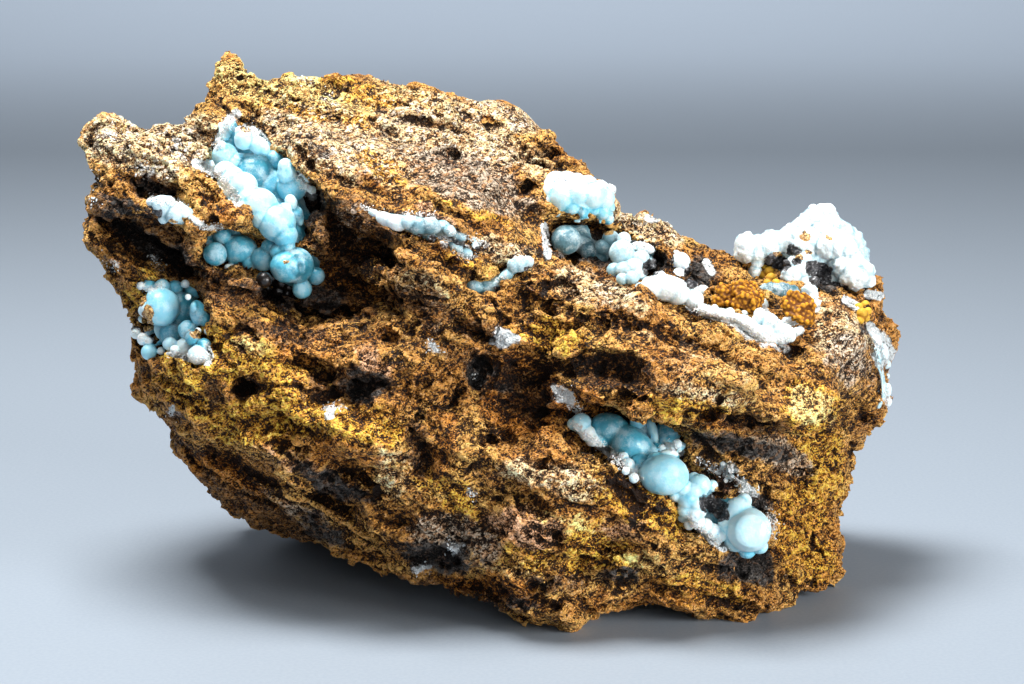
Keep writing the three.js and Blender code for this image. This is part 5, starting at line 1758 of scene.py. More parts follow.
@dataclass
class Crust:
    """A crust of hemimorphite balls that have grown into each other.

    Attributes:
        node: The node that it stands for.
        slot: The slot of the record that its finish belongs to.
        balls: Its balls.
        look: Which look it has.
        rings: Ripples on it.
        tone: Tone of the crust between the balls.
        sink: How far the balls lie behind the plain crust, in millimetres.
        back: How far the plain crust is moved back to line the pocket, in millimetres.
        shrink: How far the plain crust is shrunk, in millimetres.
        blend: How widely the balls run into each other.
        knobs: Height of the small lumps on the balls, in millimetres.
        black: Oval places where black rock lies on it; on the seam they are painted shadow under the balls.
        ochre: Oval places where crumbs of ochre rock lie on it.
        voxel: Grid of its mesh.
        kept: Share of the grid's triangles that are kept.
    """

    node: str
    slot: Slot
    balls: tuple[Ball, ...]
    look: Look = Look.OWN
    rings: tuple[Ring, ...] = ()
    tone: float = 0.5
    sink: float = 0
    back: float = 0
    shrink: float = 0.5
    blend: float = 0.1 * MM
    knobs: float = 0.035
    black: tuple[Spot, ...] = ()
    ochre: tuple[Spot, ...] = ()
    voxel: float = 0.14 * MM
    kept: float = 0.42

    def build(self, plain_stone: bpy.types.Mesh, finish: bpy.types.Material) -> bpy.types.Object:
        """Grows the crust where the plain crust lies.

        Args:
            plain_stone: The stone as the frame has it.
            finish: The crust's finish.

        Returns:
            The piece.
        """
        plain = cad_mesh(self.node)
        sight = Sight([plain, plain_stone])
        base = remeshed(plain, 2 * self.voxel)
        lined = calmed(base, points_of(base), 4) - self.shrink * MM * normals_of(base)
        move_points(base, lined + self.back * MM * DRAWING.axes()[2])
        seats = [(ball.tone, self.seat(ball, sight)) for ball in self.balls]
        tones = np.array([tone for tone, seat in seats if seat])
        centres, frames = map(np.array, zip(*[seat for _, seat in seats if seat]))
        shape = unit_ball(4)
        parts = [(shape[0] @ frame.T + centre, shape[1]) for centre, frame in zip(centres, frames)]
        parts.append((points_of(base), triangles_of(base)))
        joined = mesh_from(self.node, *put_together(parts))
        made = remeshed(joined, self.voxel * (1))
        points = self.tint(made, centres, frames, tones)
        move_points(made, points)
        normals = normals_of(made)
        height = self.ripple(points) + self.skin(points) + self.crumbs(made, points)
        move_points(made, points + height[:, None] * normals)
        made = after_modifier(made, "DECIMATE", ratio=self.kept)
        smooth_shaded(made)
        return add_piece(self.node + "_balls", made, self.slot, finish, self.node)

    def seat(self, ball: Ball, sight: Sight) -> tuple[np.ndarray, np.ndarray] | None:
        """Finds where a ball lies.

        Args:
            ball: The ball.
            sight: What it can be seated on.

        Returns:
            Its middle and its half axes, or None where it has nothing to grow on.
        """
        if ball.depth is None:
            met = sight.meet(ball.u, ball.v)
            if met is None:
                log.warning("%s: nothing to grow on at %s", self.node, ball)
                return None
            place, _, direction = met
            reach = (place - sight.eye).length / DRAWING.eye
            out = ball.radius * DRAWING.unit * reach * ball.sunk + self.sink * MM
            return np.array(place + direction * out), ball.frame(reach)
        reach = 1 + ball.depth * MM / DRAWING.eye
        direction = DRAWING.sight_line(ball.u, ball.v)
        out = DRAWING.eye * reach / direction.dot(Vector(DRAWING.axes()[2]))
        return np.array(sight.eye + direction * out), ball.frame(reach)

    def skin(self, points: np.ndarray) -> np.ndarray:
        """The height of the fine lumps on the balls.

        Args:
            points: The places, one in each row.

        Returns:
            One height for each place.
        """
        lumps = smooth_step(cell_distance(points / (0.75 * MM), 5), 0.75, 0.1)
        uneven = 1.4 * noise(points / (1.6 * MM), 6) + 0.5 * noise(points / (0.5 * MM), 7)
        return self.knobs * MM * (lumps + uneven)

    def crumbs(self, mesh: bpy.types.Mesh, points: np.ndarray) -> np.ndarray:
        """Stores where rock lies on the crust and gives the height of its crumbs.

        Args:
            mesh: The crust's mesh.
            points: Its points, one in each row.

        Returns:
            One height for each point.
        """
        places = DRAWING.spots(points)
        bend = noises(points / (1.1 * MM), 7, 2)
        cover = np.zeros(len(points))
        for name, rows in (("black", self.black), ("ochre", self.ochre)):
            share = np.zeros(len(points))
            for spot in rows:
                share = np.maximum(share, spot.amount * smooth_step(spot.reach(places + 3 * bend), 1.15, 0.7))
            store(mesh, name, share)
            cover = np.maximum(cover, share)
        rough = 0.16 * creased(points / (0.8 * MM), 9) + 0.10 * creased(points / (0.45 * MM), 10)
        return cover * rough * MM

    def ripple(self, points: np.ndarray) -> np.ndarray:
        """The height of the ripples.

        Args:
            points: The places, one in each row.

        Returns:
            One height for each place.
        """
        places = DRAWING.spots(points)
        height = np.zeros(len(points))
        for ring in self.rings:
            out = np.hypot(places[:, 0] - ring.u, places[:, 1] - ring.v) / ring.radius
            waves = -np.cos(2 * math.pi * ring.count * out)
            height += ring.depth * MM * waves * smooth_step(out, 1.0, 0.75)
        return height

    def tint(
        self, mesh: bpy.types.Mesh, centres: np.ndarray, frames: np.ndarray, tones: np.ndarray
    ) -> np.ndarray:
        """Stores the tone of each point and how near it is to a crease, and rounds the balls off.

        Args:
            mesh: The crust's mesh.
            centres: The balls' middles.
            frames: The balls' half axes.
            tones: The balls' tones.

        Returns:
            The places of the points, where they belong to a ball exactly on it.
        """
        points = points_of(mesh)
        radii = np.linalg.norm(frames, axis=1).min(axis=1)
        apart = np.empty((len(points), len(centres)), np.float32)
        for n, (centre, inverse) in enumerate(zip(centres, np.linalg.inv(frames))):
            apart[:, n] = (np.linalg.norm((points - centre) @ inverse.T, axis=1) - 1) * radii[n]
        order = np.argpartition(apart, 1, axis=1)[:, :2]
        pair = np.take_along_axis(apart, order, axis=1)
        first = np.where(pair[:, 0] < pair[:, 1], order[:, 0], order[:, 1])
        margin, gap = pair.min(axis=1), np.abs(pair[:, 1] - pair[:, 0])
        share = smooth_step(margin, 0.5 * MM, 0.15 * MM)
        frost = frosted(DRAWING.spots(points), 1.5)
        store(mesh, "tone", (share * tones[first] + (1 - share) * self.tone) * (1 - 0.7 * frost))
        on_ball = np.abs(margin) < 0.8 * self.voxel
        points = np.where(on_ball[:, None], self.run_together(points, centres, frames, apart), points)
        # crease is painted shade: the finish deepens the tone there
        crease = np.maximum(smooth_step(gap, 0.3 * MM, 0.02 * MM), smooth_step(margin, 0, 0.3 * MM))
        store(mesh, "crease", crease * (1 - 0.5 * frost))
        stand = ((points - calmed(mesh, points, 16)) * normals_of(mesh)).sum(axis=1)
        store(mesh, "dust", smooth_step(stand, -0.05 * MM, -0.35 * MM))
        return points

    def run_together(
        self, points: np.ndarray, centres: np.ndarray, frames: np.ndarray, apart: np.ndarray
    ) -> np.ndarray:
        """Moves points onto the skin of the balls, filled in softly between them.

        Args:
            points: Places near the skin.
            centres: The balls' middles.
            frames: The balls' half axes.
            apart: How far each place is outside each ball, about.

        Returns:
            The new places.
        """
        near = np.argpartition(apart, min(5, len(centres) - 1), axis=1)[:, :5]
        middles, inverses = centres[near], np.linalg.inv(frames)[near]
        radii = np.linalg.norm(frames, axis=1).min(axis=1)[near]
        for _ in range(3):
            out = np.einsum("nkij,nkj->nki", inverses, points[:, None, :] - middles)
            length = np.linalg.norm(out, axis=2)
            distance = (length - 1) * radii
            lowest = distance.min(axis=1)
            shares = np.exp((lowest[:, None] - distance) / self.blend)
            total = shares.sum(axis=1)
            level = lowest - self.blend * np.log(total)
            slopes = np.einsum("nkji,nkj->nki", inverses, out) * (radii / length)[:, :, None]
            slope = (slopes * (shares / total[:, None])[:, :, None]).sum(axis=1)
            step = level / np.maximum((slope**2).sum(axis=1), 0.1)
            points = points - np.clip(step, -self.voxel, self.voxel)[:, None] * slope
        return points


def balls(*rows: tuple[float, ...], sunk: float = 0.55) -> tuple[Ball, ...]:
    """Makes balls from rows of a Ball's values in order; those of four are sunk by the given share."""
    return tuple(Ball(*row) if len(row) > 4 else Ball(*row, sunk=sunk) for row in rows)


CRUSTS = (
    Crust(
        "crust_upper_pocket", Slot.BLUE, tone=0.75, sink=4, back=6.5, kept=0.36,
        ochre=spots((245, 129, 6, 4), (236, 207, 7, 3, 30), (287, 262, 4, 2)),
        balls=balls(
            (260, 206, 18, 0.34, 0.3), (250, 198, 13, 0.28, 0.3), (243, 187, 15, 0.25), (232, 180, 14, 0.2),
            (225, 172, 11, 0.1), (215, 168, 8, 0.02), (207, 165, 6, 0.02), (201, 163, 4, 0.02),
            (232, 193, 9, 0.15), (236, 201, 7, 0.35, 0.6), (244, 207, 7, 0.3, 0.5),
            (224, 184, 7, 0.06, 0.5), (262, 215, 14, 0.3, 0.3), (277, 223, 19, 0.45, 0.35),
            (285, 235, 13, 0.6), (287, 246, 8, 0.5, 0.6), (253, 173, 21, 0.95, 1.1),
            (270, 185, 17, 0.8, 1.3), (277, 192, 15, 0.95, 2), (287, 174, 10, 0.4, 0.9),
            (292, 187, 15, 0.62, 1.1), (286, 166, 8, 0.3, 0.8), (301, 181, 4, 0.05), (306, 186, 4, 0.05),
            (312, 190, 4, 0.1), (291, 202, 8, 0.2, 0.5, 0.75, 70), (300, 218, 8, 0.3, 0.8, 0.45, 85),
            (294, 214, 9, 0.75, 1.5), (285, 210, 7, 0.15, 0.8), (225, 134, 8, 0.4, 0.5, 0.8, 80),
            (222, 126, 4, 0.02, 0.2), (227, 124, 4, 0.02, 0.2), (219, 133, 4, 0.03, 0.3),
            (218, 141, 3, 0.03, 0.3), (233, 128, 8, 1, 1.8, 0.6, 80), (232, 142, 10, 1, 2.2),
            (244, 140, 10, 0.3, 0.3), (258, 145, 9, 0.3, 0.3), (264, 149, 6, 0.35),
            (240, 131, 5, 0.03, 0.2), (255, 125, 6, 0.03, 0.2), (252, 134, 7, 0.1, 0.3),
            (225, 156, 13, 0.5, 0.9), (214, 157, 5, 0.15, 0.5), (215, 254, 12, 0.9, 0.5),
            (240, 250, 18, 0.75, 1, 0.85, 10), (263, 259, 12, 0.65, 0.9), (236, 233, 10, 0.6, 1.4),
            (222, 235, 9, 0.8, 1.6), (208, 236, 9, 0.95, 2), (270, 247, 9, 0.85, 1.4),
            (233, 266, 5, 0.03, 0.2), (228, 268, 4, 0.03, 0.2), (296, 265, 18, 0.95, 0.7),
            (286, 267, 16, 0.8, 0.35), (302, 289, 10, 0.6, 0.5), (316, 276, 9, 0.75, 0.8),
            (278, 252, 8, 0.6, 0.9), (274, 160, 10, 0.75, 1.6), (240, 165, 12, 0.4, 1.1),
            (250, 262, 8, 0.6, 1), (222, 146, 5, 0.3, 0.6), sunk=0.4,
        ),
        rings=(Ring(300, 267, 16, 1.6, 0.12), Ring(287, 174, 9, 1, 0.06), Ring(214, 254, 12, 1.5, 0.05)),
    ),
    Crust(
        "crust_left_nook", Slot.PALE, tone=0.3, sink=1.2, back=3.5,
        black=spots((157, 213, 5, 6, 60), (150, 208, 4, 4)),
        ochre=spots((189, 221, 7, 3, 20), (172, 221, 5, 2)),
        balls=balls(
            (162, 206, 11, 0.35, 0.5), (175, 215, 9, 0.45, 0.6), (155, 203, 5, 0.1), (169, 202, 6, 0.05),
            (184, 213, 6, 0.2, 0.5), (150, 202, 4, 0.1), (191, 219, 5, 0.1, 0.4, 0.5, 30),
            (180, 207, 5, 0.1, 0.5), (163, 219, 5, 0.4, 0.7), (198, 223, 5, 0.1, 0.4, 0.5, 20), sunk=0.4,
        ),
    ),
    Crust(
        "crust_lower_left_pocket", Slot.BLUE, tone=0.85, sink=1.8, back=4.5, blend=0.07 * MM,
        ochre=spots((147, 319, 6, 15, 5), (196, 333, 8, 5), (142, 300, 6, 5)),
        balls=balls(
            (161, 307, 19, 0.5, 0.5), (160, 329, 10, 0.35, 0.5, 0.55, 85), (150, 307, 10, 0.05, 0.1),
            (144, 311, 6, 0.05, 0.2), (157, 300, 5, 0.05, 0.1), (181, 309, 17, 0.95, 1.2),
            (198, 313, 13, 0.75, 0.7, 0.65, 80), (194, 308, 6, 0.35, 0.3, 0.6, 80),
            (205, 320, 7, 0.95, 1.2), (194, 290, 9, 0.7, 0.7), (185, 284, 4, 0.03, 0.2),
            (188, 297, 3, 0.03, 0.2), (150, 286, 7, 0.6, 0.9), (162, 287, 8, 0.6, 1),
            (175, 288, 8, 0.65, 1.2), (152, 292, 4, 0.05, 0.2), (141, 286, 4, 0.03, 0.2),
            (170, 334, 11, 0.85, 1.2), (188, 330, 10, 0.8, 1.2), (193, 338, 8, 0.85, 1.2),
            (198, 331, 3.5, 0.02, 0.1), (170, 344, 7, 0.3), (185, 349, 11, 0.1), (198, 355, 10, 0.15),
            (207, 359, 6, 0.2, 0.4), (143, 339, 6, 0.03), (136, 334, 5, 0.03), (148, 341, 4, 0.05),
            (149, 352, 8, 0.4, 0.4), (161, 351, 4, 0.05), (204, 345, 7, 0.85, 1), (178, 322, 9, 1, 2),
            (175, 350, 5, 0.15, 0.4), (142, 319, 4, 0.1, 0.4), (208, 331, 4, 0.1), sunk=0.3,
        ),
    ),
    Crust(
        "crust_seam", Slot.PALE, tone=0.9, sink=1.4, back=4.5, blend=0.15 * MM,
        # painted shadow: the black patches lie where shadow falls under the balls
        black=spots((437, 240, 8, 4, 10), (462, 243, 10, 3, 20), (479, 251, 6, 4), (420, 238, 5, 3)),
        balls=balls(
            (366, 210, 4, 0.2, 0.5, 0.6, 30), (374, 213, 6, 0.1, 0.6, 0.6, 20),
            (385, 219, 10, 0, 0.6, 0.7, 25), (397, 223, 10, 0.05, 0.6, 0.8, 20),
            (409, 222, 8, 0.35, 0.6, 0.9), (418, 226, 10, 0.8, 0.7, 0.9, 10),
            (430, 226, 11, 0.85, 0.7, 0.8, 10), (442, 228, 9, 0.7, 0.7, 0.9), (450, 231, 6, 0.6),
            (459, 236, 8, 0.65, 0.7, 0.6, 20), (470, 241, 7, 0.75, 0.7, 0.7, 20),
            (481, 246, 6, 0.6, 0.6, 0.7, 20), (456, 247, 8, 0.8, 0.7, 0.6, 30),
            (466, 253, 7, 0.7, 0.7, 0.7, 10), (474, 247, 5, 0.1, 0.4), sunk=0.6,
        ),
    ),
    Crust(
        "crust_lower_seam", Slot.PALE, tone=0.9, sink=1.1, back=3.5, blend=0.15 * MM,
        black=spots((500, 290, 5, 3), (528, 269, 6, 3), (504, 266, 4, 4)),
        balls=balls(
            (475, 287, 9, 0.75, 0.6, 0.7, 10), (486, 288, 10, 0.7, 0.6, 0.7),
            (497, 283, 8, 0.5, 0.5, 0.8, -30), (506, 276, 8, 0.7, 0.6, 0.7, -35),
            (513, 266, 7, 0.75, 0.6, 0.8, 60), (520, 264, 8, 0.6), (528, 262, 6, 0.5), sunk=0.5,
        ),
    ),
    Crust(
        "crust_saddle_cap", Slot.PALE, look=Look.CYAN, tone=0.15, sink=0.2, back=0.4, shrink=0.7,
        blend=0.12 * MM,
        balls=balls(
            (556, 182, 11, 0, 0.5), (567, 180, 9, 0, 0.5), (550, 190, 8, 0.02, 0.5),
            (549, 200, 6, 0.03, 0.5), (562, 196, 15, 0.3), (577, 192, 15, 0.28), (592, 195, 14, 0.3),
            (604, 198, 11, 0.3), (557, 208, 9, 0.3), (603, 212, 8, 0.5), (608, 219, 6, 0.6),
            (588, 184, 9, 0.05, 0.5), (600, 188, 8, 0.05, 0.5), (571, 206, 9, 0.45),
            (583, 210, 7, 0.55, 1.2), (593, 210, 6, 0.55, 1.2), (610, 190, 6, 0.05, 0.5),
            (577, 180, 7, 0, 0.5), sunk=0.6,
        ),
    ),
    Crust(
        "crust_saddle_cave", Slot.PALE, tone=0.6, sink=2.2, back=5, blend=0.07 * MM,
        black=spots((652, 268, 11, 9), (664, 257, 12, 10), (694, 276, 12, 13), (640, 286, 5, 4)),
        ochre=spots((668, 266, 6, 6), (550, 230, 6, 5), (608, 232, 5, 4)),
        balls=balls(
            (566, 240, 15, 0.9, 1.3), (589, 252, 9, 1, 2.4), (600, 256, 9, 0.95, 2),
            (603, 247, 8, 0.8, 1.6), (611, 239, 9, 0.65, 0.9), (622, 253, 13, 0.5), (624, 239, 7, 0.3, 0.3),
            (642, 248, 13, 0.02, 0.1, 0.45, 12), (641, 259, 9, 0.45), (650, 264, 6, 0.4, 0.4),
            (614, 271, 8, 0.5), (624, 270, 9, 0.45), (634, 268, 10, 0.4), (622, 279, 6, 0.5, 0.6),
            (632, 278, 7, 0.45, 0.6), (640, 274, 6, 0.4), (665, 288, 22, 0, 0.35, 0.62, 8),
            (651, 287, 11, 0, 0.4), (677, 292, 13, 0.02, 0.4), (680, 262, 10, 0, 0.2),
            (679, 275, 7, 0, 0.3), (676, 254, 4, 0, 0.2), (690, 289, 9, 0.03, 0.4), (694, 300, 10, 0, 0.3),
            (703, 292, 7, 0.05, 0.3), (713, 266, 8, 0, 0.2), (719, 259, 4, 0, 0.2), (704, 262, 4, 0, 0.2),
            (640, 287, 5, 0.4, 0.8), (660, 278, 7, 0), (687, 270, 5, 0.1), sunk=0.5,
        ),
    ),
    Crust(
        "crust_basin_rim", Slot.PALE, tone=0.03, sink=0.5, back=1, shrink=0.8, knobs=0.1,
        balls=balls(
            (704, 311, 7, 0.1, 0.7, 0.6, 15), (712, 312, 6, 0.05, 0.7, 0.7),
            (719, 314, 7, 0.05, 0.7, 0.6, 5), (728, 316, 6, 0.1, 0.7, 0.7),
            (737, 318, 7, 0.1, 0.7, 0.6, 15), (744, 321, 6, 0.05, 0.7, 0.8), (730, 311, 4, 0.1, 0.5),
            (750, 326, 9, 0.05, 0.7, 0.7, 35), (757, 331, 8, 0.05, 0.7, 0.8),
            (763, 337, 9, 0.05, 0.7, 0.7, 35), (772, 339, 8, 0.05, 0.7, 0.7),
            (781, 339, 9, 0.1, 0.7, 0.6, 0), (789, 337, 7, 0.1, 0.7, 0.7),
            (796, 332, 7, 0.15, 0.7, 0.6, -25), (763, 304, 7, 0.05, 0.6, 0.6, 70),
            (760, 316, 8, 0.1, 0.7, 0.7, 80), (770, 322, 8, 0.25, 0.7), (778, 329, 6, 0.2, 0.6),
            (768, 331, 5, 0.1, 0.5), (786, 322, 4, 0.3, 0.5), (795, 321, 3, 0.2), (715, 308, 3, 0.1),
            (744, 314, 3, 0.1), sunk=0.4,
        ),
    ),
    Crust(
        "crust_crest", Slot.WHITE, tone=0.04, back=0.4, shrink=0.35, blend=0.06 * MM, knobs=0.2,
        black=spots(
            (778, 263, 15, 9, 10), (794, 250, 7, 6), (821, 276, 13, 15, 0), (797, 262, 5, 5),
            (838, 288, 10, 6, 0), (770, 258, 8, 4), (812, 268, 8, 8),
        ),
        ochre=spots(
            (806, 236, 5, 4), (828, 239, 4, 4), (798, 257, 4, 3), (807, 253, 4, 3), (778, 254, 4, 3),
            (832, 300, 14, 8),
        ),
        balls=balls(
            (747, 249, 13, 0), (757, 252, 11, 0.04), (768, 247, 12, 0), (778, 242, 11, 0),
            (770, 256, 7, 0.1), (787, 240, 12, 0), (796, 236, 12, 0), (806, 228, 13, 0), (815, 220, 12, 0),
            (825, 214, 10, 0), (829, 224, 11, 0), (822, 232, 14, 0), (812, 240, 13, 0.03),
            (837, 239, 11, 0), (847, 250, 10, 0), (838, 248, 12, 0.02), (826, 246, 12, 0.05),
            (854, 261, 9, 0), (860, 270, 12, 0), (855, 274, 16, 0), (846, 266, 14, 0), (866, 278, 9, 0),
            (838, 266, 9, 0.02), (803, 258, 9, 0.1), (801, 270, 9, 0.1), (791, 276, 10, 0.14),
            (803, 283, 8, 0.12), (810, 292, 8, 0.15), (814, 300, 6, 0.15), (811, 282, 5, 0.1),
            (791, 263, 5, 0.1), (780, 291, 20, 0.95, 0.8, 0.42, 3), (754, 272, 7, 0.05),
            (757, 263, 5, 0.03), (829, 209, 6, 0), (840, 235, 6, 0), (856, 259, 5, 0), (790, 230, 6, 0),
            (747, 241, 8, 0), (814, 211, 6, 0), (863, 266, 6, 0), (869, 271, 6, 0),
            (778, 264, 15, 0.1, 0.6, 1, 0, 7.5), (796, 254, 15, 0.05, 0.6, 1, 0, 7),
            (790, 268, 13, 0.05, 0.6, 1, 0, 6.5), (816, 262, 15, 0.05, 0.6, 1, 0, 6),
            (826, 280, 14, 0.1, 0.6, 1, 0, 5.5), (842, 280, 12, 0.05, 0.6, 1, 0, 5.5),
            (806, 246, 13, 0.02, 0.4),
        ),
    ),
    Crust(
        "crust_front_pocket", Slot.BLUE, tone=0.7, sink=1.2, back=4, blend=0.08 * MM, kept=0.36,
        black=spots((713, 505, 17, 10, 15), (722, 514, 8, 8)),
        ochre=spots((722, 492, 8, 5, 20)),
        balls=balls(
            (610, 430, 21, 0.85, 0.5, 0.8, 20), (632, 445, 24, 0.8, 0.4, 0.72, 32),
            (645, 454, 13, 0.75, 0.6), (641, 428, 14, 1, 1.8), (638, 422, 8, 0.5, 0.6, 0.75),
            (653, 431, 13, 0.4, 0.5, 0.36, 76), (668, 432, 13, 0.9, 1.2), (662, 448, 4, 0.05, 0.2),
            (669, 447, 5, 0.03, 0.2), (677, 444, 5, 0.03, 0.2), (668, 454, 10, 0.15, 0.4, 0.5),
            (664, 475, 25, 0.42, 0.4, 0.82, 4), (640, 463, 9, 0.7, 0.8), (616, 454, 6, 0.12, 0.4),
            (623, 458, 6, 0.08, 0.4), (628, 465, 7, 0.12, 0.4), (633, 471, 6, 0.1, 0.4),
            (634, 478, 5, 0.15, 0.4), (626, 471, 4, 0.08), (581, 423, 10, 0.35, 0.4), (573, 424, 6, 0.25),
            (587, 433, 8, 0.03, 0.2), (592, 440, 7, 0.03, 0.2), (583, 431, 5, 0.03, 0.2),
            (599, 442, 5, 0.08, 0.2), (602, 438, 9, 0.6, 0.6), (700, 485, 11, 0.25), (712, 486, 6, 0.2),
            (694, 479, 7, 0.2), (684, 489, 9, 0.2), (694, 492, 9, 0.3), (687, 500, 9, 0.25),
            (696, 503, 7, 0.2), (686, 509, 9, 0.25), (694, 513, 8, 0.15), (690, 498, 8, 0.3, 0.4),
            (684, 515, 8, 0.2), (676, 495, 7, 0.12, 0.4), (669, 500, 5, 0.15, 0.4), (697, 521, 8, 0.03),
            (705, 526, 8, 0.03), (712, 531, 8, 0.03), (719, 536, 7, 0.05), (689, 525, 5, 0.05),
            (716, 542, 5, 0.05), (749, 530, 22, 0.22, 0.35), (738, 511, 14, 0.2, 0.6),
            (729, 524, 11, 0.2, 0.7), (735, 541, 11, 0.25, 0.6), (747, 550, 9, 0.6, 0.6),
            (744, 501, 8, 0.15, 0.5), (760, 546, 8, 0.3, 0.7), (723, 463, 4, 0.04, 0.1),
            (732, 474, 6, 0.04, 0.1), (746, 480, 6, 0.03, 0.1), (752, 488, 7, 0.03, 0.1),
            (744, 492, 6, 0.04, 0.1), (737, 486, 4, 0.06, 0.1), (718, 486, 4, 0.06, 0.1),
            (725, 480, 4, 0.06, 0.1), (700, 512, 6, 0.1, 0.6), (655, 460, 8, 0.5, 0.9), sunk=0.3,
        ),
        rings=(Ring(751, 531, 19, 0.5, 0.22),),
    ),
    Crust(
        "crust_right_edge", Slot.WHITE, tone=0.04, sink=0.2, back=0.4, shrink=0.4,
        balls=balls(
            (869, 332, 6, 0.2, 0.8, 0.5, 45), (877, 341, 7, 0.1, 0.8, 0.6, 60),
            (884, 352, 8, 0.1, 0.8, 0.6, 80), (886, 364, 5, 0.2), (887, 376, 3, 0.3, 0.7),
            (888, 390, 7, 0.1, 0.85, 0.5, 90), (887, 402, 5, 0.1), sunk=0.8,
        ),
    ),
)


# ---- Limonite beads ----

BEAD_VOXEL = 0.11 * MM
BEAD_SHARE = 0.7  # of the grid's triangles that are kept


@dataclass
class BeadCluster:
    """A spongy cluster of small limonite beads over a plain lump of the frame.

    Attributes:
        node: The node that it stands for.
        name: The piece's name.
        shift: How far it is moved across, up and away from the eye, in millimetres.
        shrink: How far the plain lump is shrunk, in millimetres.
        size: Radii of the smallest and the largest bead.
        spread: Mean distance between beads.
        seed: Which scatter to use.
    """

    node: str
    name: str
    shift: tuple[float, float, float] = (0, 0, 0)
    shrink: float = 0.5
    size: tuple[float, float] = (0.1 * MM, 0.33 * MM)
    spread: float = 0.3 * MM
    seed: int = 3

    def build(self, finish: bpy.types.Material) -> bpy.types.Object:
        """Sets the beads out and joins them.

        Args:
            finish: The beads' finish.

        Returns:
            The piece.
        """
        base = remeshed(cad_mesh(self.node), 0.3 * MM)
        lined = calmed(base, points_of(base), 3) - self.shrink * MM * normals_of(base)
        lined += 0.6 * MM * creased(lined / (2.2 * MM), self.seed)[:, None] * normals_of(base)
        move_points(base, lined + MM * np.array(self.shift) @ DRAWING.axes())
        places, normals = scatter_over(base, self.spread, np.random.default_rng(self.seed))
        chance = np.random.default_rng(self.seed + 1)
        radii = chance.uniform(*self.size, len(places))
        rise = chance.uniform(-0.2, 0.5, len(places)) * radii
        turns = np.eye(3)[None] * radii[:, None, None]
        parts = [copies(unit_ball(3), turns, places + normals * rise[:, None])]
        parts.append((points_of(base), triangles_of(base)))
        return finish_beads(self.name, parts, finish, self.node)


def scatter_over(
    mesh: bpy.types.Mesh, spread: float, chance: np.random.Generator
) -> tuple[np.ndarray, np.ndarray]:
    """Scatters places over a mesh.

    Args:
        mesh: The mesh.
        spread: Mean distance between places.
        chance: Where the randomness comes from.

    Returns:
        The places and the normals there.
    """
    points, faces, normals = points_of(mesh), triangles_of(mesh), normals_of(mesh)
    corners = points[faces]
    areas = np.linalg.norm(np.cross(corners[:, 1] - corners[:, 0], corners[:, 2] - corners[:, 0]), axis=1) / 2
    count = int(areas.sum() / spread**2)
    picked = chance.choice(len(faces), count, p=areas / areas.sum())
    shares = chance.dirichlet((1, 1, 1), count)
    return (corners[picked] * shares[:, :, None]).sum(axis=1), normals[faces[picked, 0]]


def finish_beads(name: str, parts: list, finish: bpy.types.Material, *nodes: str) -> bpy.types.Object:
    """Joins beads into one skin, stores how they stand out and adds the piece.

    Args:
        name: The piece's name.
        parts: Points and triangles of the beads.
        finish: Their finish.
        *nodes: The nodes that the piece stands for.

    Returns:
        The piece.
    """
    made = remeshed(mesh_from(name, *put_together(parts)), BEAD_VOXEL)
    points = calmed(made, points_of(made), 1, 0.3)
    # relief drives painted shade in the creases between beads
    stand = ((points - calmed(made, points, 6)) * normals_of(made)).sum(axis=1)
    store(made, "relief", np.clip(stand / (0.08 * MM), -1, 1))
    move_points(made, points)
    made = after_modifier(made, "DECIMATE", ratio=BEAD_SHARE)
    smooth_shaded(made)
    return add_piece(name, made, Slot.LIMONITE, finish, *nodes)


@dataclass
class Beads:
    """A few beads that sit on the stone by themselves.

    Attributes:
        name: The piece's name.
        beads: Units across, units down and radius of each, on the drawing.
    """

    name: str
    beads: tuple[tuple[float, float, float], ...]

    def build(self, stone: bpy.types.Mesh, finish: bpy.types.Material) -> bpy.types.Object:
        """Seats the beads on the stone.

        Args:
            stone: The finished stone.
            finish: The beads' finish.

        Returns:
            The piece.
        """
        sight = Sight([stone])
        shape = unit_ball(3)
        parts = []
        for u, v, radius in self.beads:
            met = sight.meet(u, v)
            if met:
                size = radius * DRAWING.unit
                parts.append((shape[0] * size + np.array(met[0] - 0.1 * size * met[2]), shape[1]))
        return finish_beads(self.name, parts, finish)


# ---- Crystals ----


